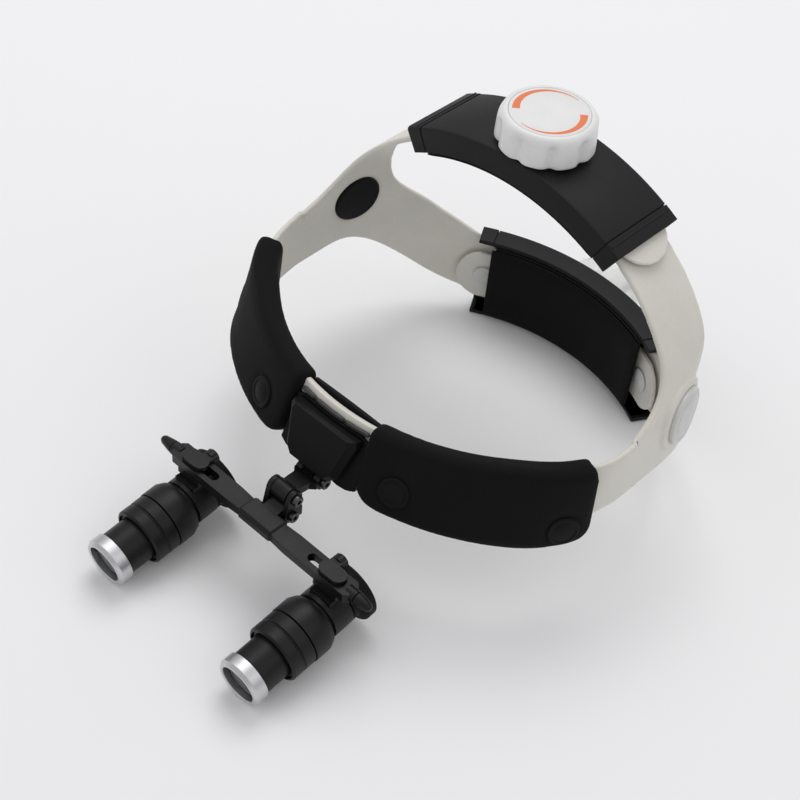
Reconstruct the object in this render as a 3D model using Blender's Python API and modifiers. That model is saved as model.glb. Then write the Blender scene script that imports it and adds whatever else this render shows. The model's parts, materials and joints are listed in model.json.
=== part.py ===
"""Headband binocular magnifier: a head loop with two ratchet housings carries a pair of loupe barrels.

Metres, +Z up. The wearer looks towards -Y and the wearer's left is +X. The part stands on its
barrels and on the lower rim of the rear housing, at z = 0.
"""

import math

import bmesh
import bpy
from mathutils import Matrix, Vector

MM = 0.001
SHIFT_Y = -7.5  # brings the middle of the bounding box to y = 0
SHIFT_Z = -0.6  # brings its lowest face to z = 0

# Head loop, seen from above: a wide front arc, a tighter temple arc, then a straight side (mm)
FRONT_Y = -34.6
FRONT_R = 90.0
TEMPLE_R = 49.0
FRONT_SWEEP = math.radians(46.0)
BAND_Z = 49.2
BAND_H = 22.6
BAND_T = 2.4
LEAN = math.radians(20.0)
LEAN_FROM, LEAN_TO = 62.0, 102.0
BAND_END = 72.0

# Brow cushions
CUSHION_FROM, CUSHION_TO = 17.0, 92.0
CUSHION_OUT, CUSHION_IN = 5.6, 4.6
CUSHION_TOP = 13.4
CUSHION_LOW_INNER, CUSHION_LOW_OUTER = 15.0, 17.5
SNAP_R = 5.5
SNAPS = ((29.5, -5.0), (82.0, -9.6))

# Side yokes: flat pattern, then bent over the crown and round the back
YOKE_T = 2.2
SIDE_X = 78.5
CROWN_BEND_Z, CROWN_BEND_SWEEP = 53.0, math.radians(38.3)
REAR_BEND_Y, REAR_BEND_SWEEP = 43.3, math.radians(41.6)
BEND_R = 50.0
BOSS_P, BOSS_Q = 54.0, 57.0
BOSS_R, CAP_R, PLUG_R = 13.0, 10.0, 10.0
TIP_R = 12.0
CROWN_TIP_R, REAR_TIP_R = 86.3, 88.1

# Crown and rear housings: the same curved box twice
CROWN_Y, CROWN_Z = 60.6, 30.5
REAR_Y, REAR_Z = 18.0, 19.5
SHELL_R, SHELL_IN, SHELL_LIP = 92.0, 90.6, 82.6
SHELL_HALF = math.radians(30.5)
PAD_HALF = math.radians(26.5)
CROWN_HALF_W, REAR_HALF_W = 16.2, 18.9
RIVET_A = math.radians(28.0)
STRAP_HALF_W = 11.0
KNOB_R, KNOB_H = 17.2, 11.5
SCOOPS = 9
SCOOP_START = math.radians(-5.0)

# Three pivots between the bracket and the bar
PIVOT_1 = (-42.0, 34.7)
PIVOT_2 = (-54.8, 35.7)
PIVOT_3 = (-56.4, 29.0)
EYE_R = 3.0
PIN_R = 1.1

# Interpupillary bar and sliders
BAR_Y, BAR_Z0, BAR_Z1, BAR_HALF = -64.5, 26.6, 30.4, 3.7
BAR_END = 41.0
SLOT_FROM, SLOT_TO, SLOT_HALF = 22.0, 38.6, 1.75
PUPIL_X = 33.0

# Barrels: distances run along the axis from the front rim
RING_Y, RING_Z = -105.5, 9.5
PITCH = math.radians(7.0)

WHITE = (0.80, 0.80, 0.77)
BLACK = (0.018, 0.018, 0.02)
FOAM = (0.012, 0.012, 0.013)
SILVER = (0.75, 0.75, 0.76)
GREY = (0.55, 0.56, 0.57)
DARK = (0.05, 0.05, 0.055)
GLASS = (0.06, 0.07, 0.08)
ORANGE = (0.85, 0.25, 0.05)


# ---------------------------------------------------------------- scene helpers


def clear_scene():
    for obj in list(bpy.data.objects):
        bpy.data.objects.remove(obj, do_unlink=True)
    for mesh in list(bpy.data.meshes):
        bpy.data.meshes.remove(mesh)


def new_collection(name, hidden):
    found = bpy.data.collections.new(name)
    bpy.context.scene.collection.children.link(found)
    found.hide_render = hidden
    return found


def material(name, colour, rough, metal):
    made = bpy.data.materials.new(name)
    made.use_nodes = True
    shader = made.node_tree.nodes["Principled BSDF"]
    shader.inputs["Base Color"].default_value = (*colour, 1.0)
    shader.inputs["Roughness"].default_value = rough
    shader.inputs["Metallic"].default_value = metal
    return made


def mesh_object(name, points, faces, home):
    """An object in millimetre coordinates of the head frame, moved to its place and scaled to metres."""
    mesh = bpy.data.meshes.new(name)
    mesh.from_pydata([(x * MM, (y + SHIFT_Y) * MM, (z + SHIFT_Z) * MM) for x, y, z in points], [], faces)
    bm = bmesh.new()
    bm.from_mesh(mesh)
    bmesh.ops.remove_doubles(bm, verts=bm.verts, dist=1e-7)
    bmesh.ops.recalc_face_normals(bm, faces=bm.faces)
    bm.to_mesh(mesh)
    bm.free()
    obj = bpy.data.objects.new(name, mesh)
    home.objects.link(obj)
    return obj


class Shop:
    """Holds the two collections and makes solids in them."""

    def __init__(self):
        self.parts = new_collection("head_visor_magnifier", False)
        self.tools = new_collection("construction", True)
        self.count = 0

    def solid(self, name, points, faces):
        return mesh_object(name, points, faces, self.parts)

    def tool(self, points, faces):
        self.count += 1
        obj = mesh_object(f"tool_{self.count:03d}", points, faces, self.tools)
        obj.hide_render = True
        obj.display_type = "WIRE"
        return obj

    def boolean(self, target, operation, shape):
        cutter = self.tool(*shape)
        modifier = target.modifiers.new(f"{operation}_{self.count}", "BOOLEAN")
        modifier.operation = operation
        modifier.solver = "EXACT"
        modifier.object = cutter
        return target

    def cut(self, target, *shapes):
        for shape in shapes:
            self.boolean(target, "DIFFERENCE", shape)
        return target

    def join(self, target, *shapes):
        for shape in shapes:
            self.boolean(target, "UNION", shape)
        return target


# ---------------------------------------------------------------- shapes in millimetres


def loft(sections):
    """Closed solid through equal-length rings of points, capped at both ends."""
    count = len(sections[0])
    points = [point for ring in sections for point in ring]
    faces = []
    for i in range(len(sections) - 1):
        for j in range(count):
            a = i * count + j
            b = i * count + (j + 1) % count
            faces.append((a, b, b + count, a + count))
    faces.append(tuple(range(count)))
    last = (len(sections) - 1) * count
    faces.append(tuple(range(last, last + count)))
    return points, faces


def box(x0, x1, y0, y1, z0, z1):
    return loft([[(x0, y0, z), (x1, y0, z), (x1, y1, z), (x0, y1, z)] for z in (z0, z1)])


def frame_of(axis):
    """Two unit vectors square to the axis."""
    axis = Vector(axis).normalized()
    helper = Vector((0, 0, 1)) if abs(axis.z) < 0.9 else Vector((1, 0, 0))
    first = helper.cross(axis).normalized()
    return axis, first, axis.cross(first)


def lathe(profile, origin, axis, steps=32):
    """Turns a closed (radius, distance) profile about the axis. Points at radius 0 become poles."""
    axis, first, second = frame_of(axis)
    origin = Vector(origin)
    points = []
    rings = []
    for radius, distance in profile:
        centre = origin + axis * distance
        if radius < 1e-6:
            rings.append([len(points)])
            points.append(tuple(centre))
            continue
        ring = []
        for k in range(steps):
            turn = 2 * math.pi * k / steps
            ring.append(len(points))
            points.append(tuple(centre + (first * math.cos(turn) + second * math.sin(turn)) * radius))
        rings.append(ring)
    faces = []
    for i in range(len(rings)):
        a, b = rings[i], rings[(i + 1) % len(rings)]
        if len(a) == 1 and len(b) == 1:
            continue
        for k in range(steps):
            m = (k + 1) % steps
            quad = [a[k % len(a)], a[m % len(a)], b[m % len(b)], b[k % len(b)]]
            faces.append(tuple(dict.fromkeys(quad)))
    return points, faces


def rod(radius, start, end, steps=24):
    start, end = Vector(start), Vector(end)
    length = (end - start).length
    return lathe([(0, 0), (radius, 0), (radius, length), (0, length)], start, end - start, steps)


def prism(outline, origin, u, v, n, low, high):
    """A 2-D outline in the (u, v) plane, pushed along n from low to high."""
    origin, u, v, n = Vector(origin), Vector(u), Vector(v), Vector(n)
    return loft([[tuple(origin + u * a + v * b + n * d) for a, b in outline] for d in (low, high)])


def smooth(outline, rounds=2, keep=()):
    """Corner cutting. Points whose index is in keep stay as they are."""
    points = [(p, i in keep) for i, p in enumerate(outline)]
    for _ in range(rounds):
        cut = []
        for i, (a, held) in enumerate(points):
            b, held_next = points[(i + 1) % len(points)]
            if held:
                cut.append((a, True))
            else:
                cut.append(((0.75 * a[0] + 0.25 * b[0], 0.75 * a[1] + 0.25 * b[1]), False))
            if not held_next:
                cut.append(((0.25 * a[0] + 0.75 * b[0], 0.25 * a[1] + 0.75 * b[1]), False))
        points = cut
    return [p for p, _ in points]


def disc_outline(radius, steps, centre=(0.0, 0.0)):
    turns = [2 * math.pi * k / steps for k in range(steps)]
    return [(centre[0] + radius * math.cos(t), centre[1] + radius * math.sin(t)) for t in turns]


def stadium(half_length, radius, steps=8):
    """Outline with round ends along its first axis. half_length reaches the tip."""
    found = []
    for sign, start in ((1, -90), (-1, 90)):
        for k in range(steps + 1):
            turn = math.radians(start + 180 * k / steps)
            found.append((sign * (half_length - radius) + radius * math.cos(turn), radius * math.sin(turn)))
    return found


def round_box(t0, t1, h0, h1, radius, steps=3):
    found = []
    corners = ((t1 - radius, h1 - radius, 0), (t0 + radius, h1 - radius, 90))
    corners += ((t0 + radius, h0 + radius, 180), (t1 - radius, h0 + radius, 270))
    for t, h, start in corners:
        for k in range(steps + 1):
            turn = math.radians(start + 90 * k / steps)
            found.append((t + radius * math.cos(turn), h + radius * math.sin(turn)))
    return found


# ---------------------------------------------------------------- the head loop


def loop_at(s):
    """(x, y, heading) of the loop's middle surface at arc length s from the front, seen from above."""
    side = 1 if s >= 0 else -1
    s = abs(s)
    front_len = FRONT_R * FRONT_SWEEP
    temple_len = TEMPLE_R * (math.pi / 2 - FRONT_SWEEP)
    centre_y = FRONT_Y + FRONT_R
    if s <= front_len:
        turn = s / FRONT_R
        x = FRONT_R * math.sin(turn)
        y = centre_y - FRONT_R * math.cos(turn)
    else:
        turn = min(FRONT_SWEEP + (s - front_len) / TEMPLE_R, math.pi / 2)
        x = (FRONT_R - TEMPLE_R) * math.sin(FRONT_SWEEP) + TEMPLE_R * math.sin(turn)
        y = centre_y - (FRONT_R - TEMPLE_R) * math.cos(FRONT_SWEEP) - TEMPLE_R * math.cos(turn)
        y += max(s - front_len - temple_len, 0)
    return side * x, y, side * turn


def blend(value, low, high):
    t = min(max((value - low) / (high - low), 0.0), 1.0)
    return t * t * (3 - 2 * t)


def loop_point(s, t, h):
    """A point t outwards and h upwards from the middle of the band. The front leans back."""
    x, y, turn = loop_at(s)
    lean = LEAN * (1 - blend(abs(s), LEAN_FROM, LEAN_TO))
    out = Vector((math.sin(turn), -math.cos(turn), 0))
    up = Vector((0, 0, 1)) * math.cos(lean) - out * math.sin(lean)
    normal = out * math.cos(lean) + Vector((0, 0, 1)) * math.sin(lean)
    return Vector((x, y, BAND_Z)) + normal * t + up * h


def loop_axes(s):
    origin = loop_point(s, 0, 0)
    normal = loop_point(s, 1, 0) - origin
    up = loop_point(s, 0, 1) - origin
    return origin, normal.cross(up).normalized(), up, normal


def loop_sweep(section_at, start, end, steps):
    """section_at(s) gives the (t, h) outline at each station."""
    stations = [start + (end - start) * k / steps for k in range(steps + 1)]
    return loft([[tuple(loop_point(s, t, h)) for t, h in section_at(s)] for s in stations])


# ---------------------------------------------------------------- the housings' arc frames


class Arc:
    """Places (angle, radius, across) for a housing. The angle is 0 at its middle and + towards +X."""

    def __init__(self, centre, top, across):
        self.centre = Vector(centre)
        self.top = Vector(top)
        self.across = Vector(across)

    def point(self, angle, radius, across):
        out = Vector((1, 0, 0)) * math.sin(angle) + self.top * math.cos(angle)
        return self.centre + out * radius + self.across * across

    def out(self, angle):
        return Vector((1, 0, 0)) * math.sin(angle) + self.top * math.cos(angle)

    def sweep(self, section, start, end, steps):
        turns = [start + (end - start) * k / steps for k in range(steps + 1)]
        return loft([[tuple(self.point(a, r, w)) for r, w in section] for a in turns])

    def plate(self, r0, r1, w0, w1, start, end, steps):
        return self.sweep([(r0, w0), (r1, w0), (r1, w1), (r0, w1)], start, end, steps)

    def bend(self, shape, radius):
        """Wraps a flat shape (along, across, height) round the arc at this radius."""
        points, faces = shape
        bent = [tuple(self.point(a / radius, radius + h, w)) for a, w, h in points]
        return bent, faces


def crown_arc():
    return Arc((0, CROWN_Y, CROWN_Z), (0, 0, 1), (0, 1, 0))


def rear_arc():
    return Arc((0, REAR_Y, REAR_Z), (0, 1, 0), (0, 0, 1))


# ---------------------------------------------------------------- yokes


def bend_profile(value, start, sweep, final_r):
    """(fall, run) of a side that is straight to start, bends by BEND_R, then follows final_r."""
    s = value - start
    if s <= 0:
        return 0.0, value
    if s <= BEND_R * sweep:
        turn = s / BEND_R
        return BEND_R * (1 - math.cos(turn)), start + BEND_R * math.sin(turn)
    turn = sweep + (s - BEND_R * sweep) / final_r
    fall = BEND_R * (1 - math.cos(sweep)) + final_r * (math.cos(sweep) - math.cos(turn))
    run = start + BEND_R * math.sin(sweep) + final_r * (math.sin(turn) - math.sin(sweep))
    return fall, run


def yoke_middle(p, q):
    """Middle surface of the left yoke from its flat pattern: p runs backwards, q runs upwards."""
    loop_straight = FRONT_R * FRONT_SWEEP + TEMPLE_R * (math.pi / 2 - FRONT_SWEEP)
    straight_y = loop_at(loop_straight)[1]
    if p < straight_y:
        return loop_point(loop_straight + p - straight_y, 0.0, q - BAND_Z)
    fall, y = bend_profile(p, REAR_BEND_Y, REAR_BEND_SWEEP, REAR_TIP_R)
    keep = 1 - blend(q, 60.0, 84.0)
    x = SIDE_X - fall * keep
    y = y * keep + p * (1 - keep)
    fall, z = bend_profile(q, CROWN_BEND_Z, CROWN_BEND_SWEEP, CROWN_TIP_R)
    return Vector((x - fall, y, z))


def yoke_point(p, q, height):
    """A point at this height outside the middle surface."""
    here = yoke_middle(p, q)
    along = yoke_middle(p + 0.05, q) - yoke_middle(p - 0.05, q)
    up = yoke_middle(p, q + 0.05) - yoke_middle(p, q - 0.05)
    return here + along.cross(up).normalized() * height


CROWN_TIP_Q = CROWN_BEND_Z + BEND_R * CROWN_BEND_SWEEP
CROWN_TIP_Q += CROWN_TIP_R * (math.pi / 2 - RIVET_A - CROWN_BEND_SWEEP)
REAR_TIP_P = REAR_BEND_Y + BEND_R * REAR_BEND_SWEEP
REAR_TIP_P += REAR_TIP_R * (math.pi / 2 - RIVET_A - REAR_BEND_SWEEP)


def arc_points(centre, radius, start, end, steps):
    turns = [math.radians(start + (end - start) * k / steps) for k in range(steps + 1)]
    return [(centre[0] + radius * math.cos(t), centre[1] + radius * math.sin(t)) for t in turns]


def yoke_outline():
    """Flat pattern: a stem inside the cushion, then one branch over the crown and one to the back."""
    stem = [(-10.0, 38.0), (14.0, 38.0), (30.0, 38.8), (44.0, 39.2), (54.0, 37.6), (64.0, 32.4)]
    lower = [(76.6, 23.0), (90.0, 13.6)]
    rear_tip = arc_points((REAR_TIP_P, REAR_Z), TIP_R + 0.6, -120, 52, 12)
    upper = [(94.0, 44.0), (84.0, 51.4), (75.5, 56.6), (69.8, 62.0), (67.4, 69.0), (67.8, 78.0)]
    upper += [(70.8, 92.0)]
    crown_tip = arc_points((CROWN_Y, CROWN_TIP_Q), TIP_R, 0, 180, 12)
    front = [(47.8, 104.0), (46.2, 88.0), (44.6, 78.5), (40.0, 70.6), (33.0, 65.2), (24.0, 61.8)]
    front += [(14.0, 60.8), (-10.0, 60.6)]
    points = stem + lower + rear_tip + upper + crown_tip + front
    return smooth(points, 1, keep=(0, len(points) - 1))


def grid_slab(p0, p1, q0, q1, step, low, high):
    """A flat slab with a grid on both faces, so that it bends evenly."""
    np_, nq = round((p1 - p0) / step), round((q1 - q0) / step)
    ps = [p0 + (p1 - p0) * i / np_ for i in range(np_ + 1)]
    qs = [q0 + (q1 - q0) * j / nq for j in range(nq + 1)]
    points = [(p, q, h) for h in (low, high) for q in qs for p in ps]
    row = np_ + 1
    layer = row * (nq + 1)
    faces = []
    for j in range(nq):
        for i in range(np_):
            a = j * row + i
            faces.append((a, a + row, a + row + 1, a + 1))
            faces.append((a + layer, a + layer + 1, a + layer + row + 1, a + layer + row))
    rim = [i for i in range(np_)] + [j * row + np_ for j in range(nq)]
    rim += [nq * row + i for i in range(np_, 0, -1)] + [j * row for j in range(nq, 0, -1)]
    for k, a in enumerate(rim):
        b = rim[(k + 1) % len(rim)]
        faces.append((a, b, b + layer, a + layer))
    return points, faces


def evaluated(obj):
    """The finished mesh of an object, as millimetre points and faces."""
    graph = bpy.context.evaluated_depsgraph_get()
    mesh = bpy.data.meshes.new_from_object(obj.evaluated_get(graph))
    points = [(v.co.x / MM, v.co.y / MM - SHIFT_Y, v.co.z / MM - SHIFT_Z) for v in mesh.vertices]
    faces = [tuple(polygon.vertices) for polygon in mesh.polygons]
    bpy.data.meshes.remove(mesh)
    return points, faces


def flat_plate(shop, outline, slab, holes, bosses):
    """A flat pattern with its holes and bosses, ready to bend."""
    work = shop.tool(*slab)
    ex, ey, ez = Vector((1, 0, 0)), Vector((0, 1, 0)), Vector((0, 0, 1))
    shop.boolean(work, "INTERSECT", prism(outline, (0, 0, 0), ex, ey, ez, -20, 20))
    for shape, low, high in bosses:
        shop.join(work, prism(shape, (0, 0, 0), ex, ey, ez, low, high))
    for shape, low, high in holes:
        shop.cut(work, prism(shape, (0, 0, 0), ex, ey, ez, low, high))
    triangulate = work.modifiers.new("triangles", "TRIANGULATE")
    triangulate.quad_method = "SHORTEST_DIAGONAL"
    return evaluated(work)


def mirrored(shape, side):
    points, faces = shape
    return [(side * x, y, z) for x, y, z in points], faces


def build_yokes(shop):
    slab = grid_slab(-12, 128, 4, 138, 5.6, -YOKE_T / 2, YOKE_T / 2)
    slot = stadium(6.6, 2.8)
    crown_slot = [(CROWN_Y + b, CROWN_TIP_Q + a) for a, b in slot]
    rear_slot = [(REAR_TIP_P + a, REAR_Z + b) for a, b in slot]
    centre = (BOSS_P, BOSS_Q)
    holes = [
        (crown_slot, -9, 9),
        (rear_slot, -9, 9),
        (disc_outline(4.2, 20, centre), -9, 9),
        (disc_outline(CAP_R + 0.4, 28, centre), 1.7, 9),
        (disc_outline(PLUG_R + 0.4, 24, centre), -9, -0.5),
    ]
    bosses = [(disc_outline(BOSS_R, 28, centre), 0.2, YOKE_T / 2 + 1.3)]
    points, faces = flat_plate(shop, yoke_outline(), slab, holes, bosses)
    bent = [tuple(yoke_point(p, q, h)) for p, q, h in points]
    for side, name in ((1, "left"), (-1, "right")):
        shop.solid(f"side_yoke_{name}", *mirrored((bent, faces), side))
        cap = lathe(
            [(0, 2.0), (CAP_R, 2.0), (CAP_R, 3.1), (CAP_R - 0.9, 3.7), (0, 3.9)],
            (0, 0, 0), (0, 0, 1), 28,
        )
        plug = lathe(
            [(0, 1.7), (3.8, 1.7), (3.8, -0.8), (PLUG_R, -0.8), (PLUG_R, -1.4), (PLUG_R - 1.2, -2.0), (0, -2.2)],
            (0, 0, 0), (0, 0, 1), 24,
        )
        for piece, node in ((cap, "yoke_cap"), (plug, "yoke_plug")):
            placed = [tuple(yoke_point(BOSS_P + a, BOSS_Q + b, c)) for a, b, c in piece[0]]
            shop.solid(f"{node}_{name}", *mirrored((placed, piece[1]), side))


# ---------------------------------------------------------------- band, cushions and bracket


def end_fall(distance, radius):
    """How far a rounded corner has dropped at this distance from the end."""
    if distance >= radius:
        return 0.0
    return radius - math.sqrt(max(radius**2 - (radius - max(distance, 0)) ** 2, 0))


def cushion_section(s):
    a, b = s - CUSHION_FROM, CUSHION_TO - s
    part = a / (CUSHION_TO - CUSHION_FROM)
    low = CUSHION_LOW_INNER + (CUSHION_LOW_OUTER - CUSHION_LOW_INNER) * part
    low -= 0.8 * end_fall(a, 8.0) + 0.8 * end_fall(b, 6.0)
    top = CUSHION_TOP - 0.8 * end_fall(a, 1.5) - 0.8 * end_fall(b, 3.0)
    slim = 1.2 * (end_fall(a, 2.5) + end_fall(b, 2.5)) / 2.5
    return round_box(-CUSHION_IN + slim, CUSHION_OUT - slim, -low, top, 2.8 - 0.6 * slim, 3)


def build_front(shop):
    half = BAND_H / 2
    band = round_box(-BAND_T / 2, BAND_T / 2, -half, half, 0.5, 1)
    shop.solid("front_band", *loop_sweep(lambda s: band, -BAND_END, BAND_END, 28))
    slot = round_box(-1.8, 1.8, -half - 0.6, half + 0.6, 0.4, 1)
    for side, name in ((1, "left"), (-1, "right")):
        count = 24
        offsets = [0, 0.6, 1.6, 3.4, 6.0]
        middle = [8.5 + (CUSHION_TO - CUSHION_FROM - 15.5) * k / (count - 9) for k in range(count - 8)]
        length = CUSHION_TO - CUSHION_FROM
        ends = [length - d for d in (5.0, 3.0, 1.6, 0.6, 0)]
        stations = [CUSHION_FROM + d for d in offsets + middle + ends]
        rings = [[tuple(loop_point(s, t, h)) for t, h in cushion_section(s)] for s in stations]
        cushion = shop.solid(f"brow_cushion_{name}", *mirrored(loft(rings), side))
        inner = loop_sweep(lambda s: slot, CUSHION_FROM - 3, CUSHION_TO + 3, 26)
        shop.cut(cushion, mirrored(inner, side))
        for number, (s, h) in enumerate(SNAPS):
            origin, _, _, normal = loop_axes(s)
            base = loop_point(s, CUSHION_OUT, h)
            cutter = rod(SNAP_R + 0.7, base - normal * 0.9, base + normal * 4, 20)
            shop.cut(cushion, mirrored(cutter, side))
            snap = lathe(
                [(0, -0.6), (SNAP_R, -0.6), (SNAP_R, 0.1), (SNAP_R - 0.9, 0.6), (0, 0.8)],
                base, normal, 20,
            )
            where = ("inner", "outer")[number]
            shop.solid(f"cushion_snap_{where}_{name}", *mirrored(snap, side))


def build_bracket(shop):
    def backing_section(s):
        low = -13.9 + 1.4 * blend(9.0 - abs(s), 0.0, 2.4) + 1.2 * blend(abs(s), 13.4, 16.4)
        lip = 7.6 - 1.2 * blend(abs(s), 13.0, 16.0)
        top = 12.9 - 1.5 * (s / 16.4) ** 2
        return [(-3.6, low), (2.8, low), (2.8, lip), (1.7, lip), (1.7, -11.7),
                (-1.7, -11.7), (-1.7, top), (-3.6, top)]

    shop.solid("bracket_backing", *loop_sweep(backing_section, -16.4, 16.4, 20))
    origin, across, up, normal = loop_axes(0.0)
    across = Vector((1, 0, 0))
    face = [(-9.2, -12.2), (9.2, -12.2), (11.6, -9.8), (15.0, 4.6), (14.2, 6.6)]
    face += [(-14.2, 6.6), (-15.0, 4.6), (-11.6, -9.8)]
    inner = [(x * 0.84, h * 0.93 - 0.2) for x, h in face]
    rings = [[tuple(origin + across * x + up * h + normal * t) for x, h in outline]
             for outline, t in ((face, 0.0), (face, 5.2), (inner, 7.2))]
    cover = shop.solid("bracket_cover", *loft(rings))
    y1, z1 = PIVOT_1
    root = origin - up * 9.0 + normal * 4.9
    lug = [(y1 + 2.0, z1 + 2.2), (root.y + 2.0, root.z), (root.y - 1.9, root.z), (y1 - 2.4, z1 + 1.8)]
    shop.join(cover, prism(lug, (0, 0, 0), (0, 1, 0), (0, 0, 1), (1, 0, 0), -2.4, 2.4))
    shop.join(cover, rod(EYE_R, (-2.4, y1, z1), (2.4, y1, z1)))
    behind = [(-6.0, -12.8), (3.1, -12.8), (3.1, 19.0), (-6.0, 19.0)]
    shop.cut(cover, loop_sweep(lambda s: behind, -20, 20, 16))
    shop.cut(cover, rod(PIN_R + 0.1, (-9, y1, z1), (9, y1, z1)))


# ---------------------------------------------------------------- housings


def knob_outline(radius, depth):
    """A circle with narrow hollows, evenly spaced, and broad rounded lobes between them."""
    found = []
    count = SCOOPS * 8
    for k in range(count):
        turn = 2 * math.pi * k / count
        off = math.remainder(turn - SCOOP_START, 2 * math.pi / SCOOPS)
        r = radius - depth * math.exp(-(math.degrees(off) / 6.5) ** 2)
        found.append((r * math.cos(turn), r * math.sin(turn)))
    return found


def pinion_outline(teeth, outer, inner):
    found = []
    for k in range(teeth):
        for step, r in ((-0.30, inner), (-0.16, outer), (0.16, outer), (0.30, inner)):
            turn = 2 * math.pi * (k + step) / teeth
            found.append((r * math.cos(turn), r * math.sin(turn)))
    return found


def build_housing(shop, name, arc, half_w, strap_r, rivet_parts, label, pad_inside):
    """One ratchet housing with its straps, rivets, cover, pad and knob."""
    wall = 1.7
    section = [
        (SHELL_LIP, -half_w), (SHELL_R - 0.8, -half_w), (SHELL_R, -half_w + 0.8),
        (SHELL_R, half_w - 0.8), (SHELL_R - 0.8, half_w), (SHELL_LIP, half_w),
        (SHELL_LIP, half_w - wall), (SHELL_IN, half_w - wall),
        (SHELL_IN, -half_w + wall), (SHELL_LIP, -half_w + wall),
    ]
    shell = shop.solid(f"{name}_housing", *arc.sweep(section, -SHELL_HALF, SHELL_HALF, 24))
    middle = arc.point(0, 0, 0)
    shop.cut(shell, rod(3.3, middle + arc.top * 86, middle + arc.top * 96, 24))
    inside = half_w - wall - 0.4
    cover_half = math.radians(25.5)
    pad_w = inside - 0.6 if pad_inside else half_w - 0.4
    lift = 0.0 if pad_inside else 0.6
    shop.solid(f"{name}_cover", *arc.plate(82.0 + lift, 83.2 + lift / 3, -inside, inside, -cover_half, cover_half, 20))
    pad = [(80.0 + lift, -pad_w + 1), (81.7 + lift, -pad_w), (81.7 + lift, pad_w), (80.0 + lift, pad_w - 1)]
    shop.solid(f"{name}_pad", *arc.sweep(pad, -PAD_HALF, PAD_HALF, 20))

    knob_base = middle + arc.top * (SHELL_R + 0.4)
    outline = knob_outline(KNOB_R, 1.3)
    u, v = Vector((1, 0, 0)), arc.top.cross(Vector((1, 0, 0)))
    rings = []
    for scale, height in ((0.985, 0.0), (1.0, 0.6), (0.975, KNOB_H - 1.6), (0.93, KNOB_H - 0.4), (0.90, KNOB_H)):
        rings.append([tuple(knob_base + (u * a + v * b) * scale + arc.top * height) for a, b in outline])
    knob = shop.solid(f"{name}_knob", *loft(rings))
    top = knob_base + arc.top * KNOB_H
    shop.cut(knob, rod(13.8, top - arc.top * 0.7, top + arc.top * 3, 32))
    shaft_end = middle + arc.top * (strap_r - 1.1)
    shop.join(knob, rod(3.0, shaft_end, knob_base + arc.top * 2, 24))
    gear = pinion_outline(10, 4.4, 3.6)
    shop.join(knob, prism(gear, shaft_end, u, v, arc.top, 0.0, 1.9))
    if label:
        disc = lathe([(0, -0.45), (13.5, -0.45), (13.5, -0.1), (0, -0.1)], top, arc.top, 32)
        shop.solid(f"{name}_knob_label", *disc)

    rivet_s = RIVET_A * strap_r
    for side, side_name in ((1, "left"), (-1, "right")):
        full_from = math.radians(15.5) * strap_r
        tongue_to = math.radians(-7.5) * strap_r
        rack = [(full_from + 2.5, 5.4), (tongue_to, 5.4), (tongue_to, 10.4), (full_from, 10.4)]
        outline = [(full_from, STRAP_HALF_W), (rivet_s, STRAP_HALF_W)]
        outline = rack + outline[:1] + arc_points((rivet_s, 0), 11.4, 75, -75, 12)
        outline += [(full_from, -STRAP_HALF_W), (full_from, -3.0), (full_from + 1.6, 1.0)]
        slab = grid_slab(tongue_to - 2, rivet_s + 14, -14, 14, 5.0, -0.7, 0.7)
        holes = [(disc_outline(2.5, 20, (rivet_s, 0)), -5, 5)]
        points, faces = flat_plate(shop, outline, slab, holes, [])
        turned = [(side * a, side * w, h) for a, w, h in points]
        shop.solid(f"{name}_strap_{side_name}", *arc.bend((turned, faces), strap_r))
        profile = [(r, d) for r, d in rivet_parts]
        angle = side * RIVET_A
        rivet = lathe(profile, arc.centre, arc.out(angle), 24)
        shop.solid(f"{name}_rivet_{side_name}", *rivet)


def build_housings(shop):
    crown_rivet = [(0, 90.1), (2.3, 90.1), (2.3, 84.7), (4.4, 84.7), (4.4, 84.2), (3.8, 83.9), (0, 83.9)]
    rear_rivet = [(0, 90.4), (4.2, 90.4), (4.2, 89.8), (2.3, 89.8), (2.3, 84.0), (4.6, 84.0)]
    rear_rivet += [(4.6, 83.7), (3.9, 83.4), (0, 83.4)]
    build_housing(shop, "crown", crown_arc(), CROWN_HALF_W, 89.5, crown_rivet, True, False)
    build_housing(shop, "rear", rear_arc(), REAR_HALF_W, 85.0, rear_rivet, False, True)


# ---------------------------------------------------------------- linkage and bar


def yz_prism(outline, x0, x1):
    return prism(outline, (0, 0, 0), (0, 1, 0), (0, 0, 1), (1, 0, 0), x0, x1)


def capsule_outline(a, b, radius, steps=8):
    """Outline round two points in the YZ plane."""
    turn = math.atan2(b[1] - a[1], b[0] - a[0])
    found = []
    for centre, start in ((b, turn - math.pi / 2), (a, turn + math.pi / 2)):
        for k in range(steps + 1):
            t = start + math.pi * k / steps
            found.append((centre[0] + radius * math.cos(t), centre[1] + radius * math.sin(t)))
    return found


def x_rod(radius, at, x0, x1, steps=24):
    return rod(radius, (x0, at[0], at[1]), (x1, at[0], at[1]), steps)


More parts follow.
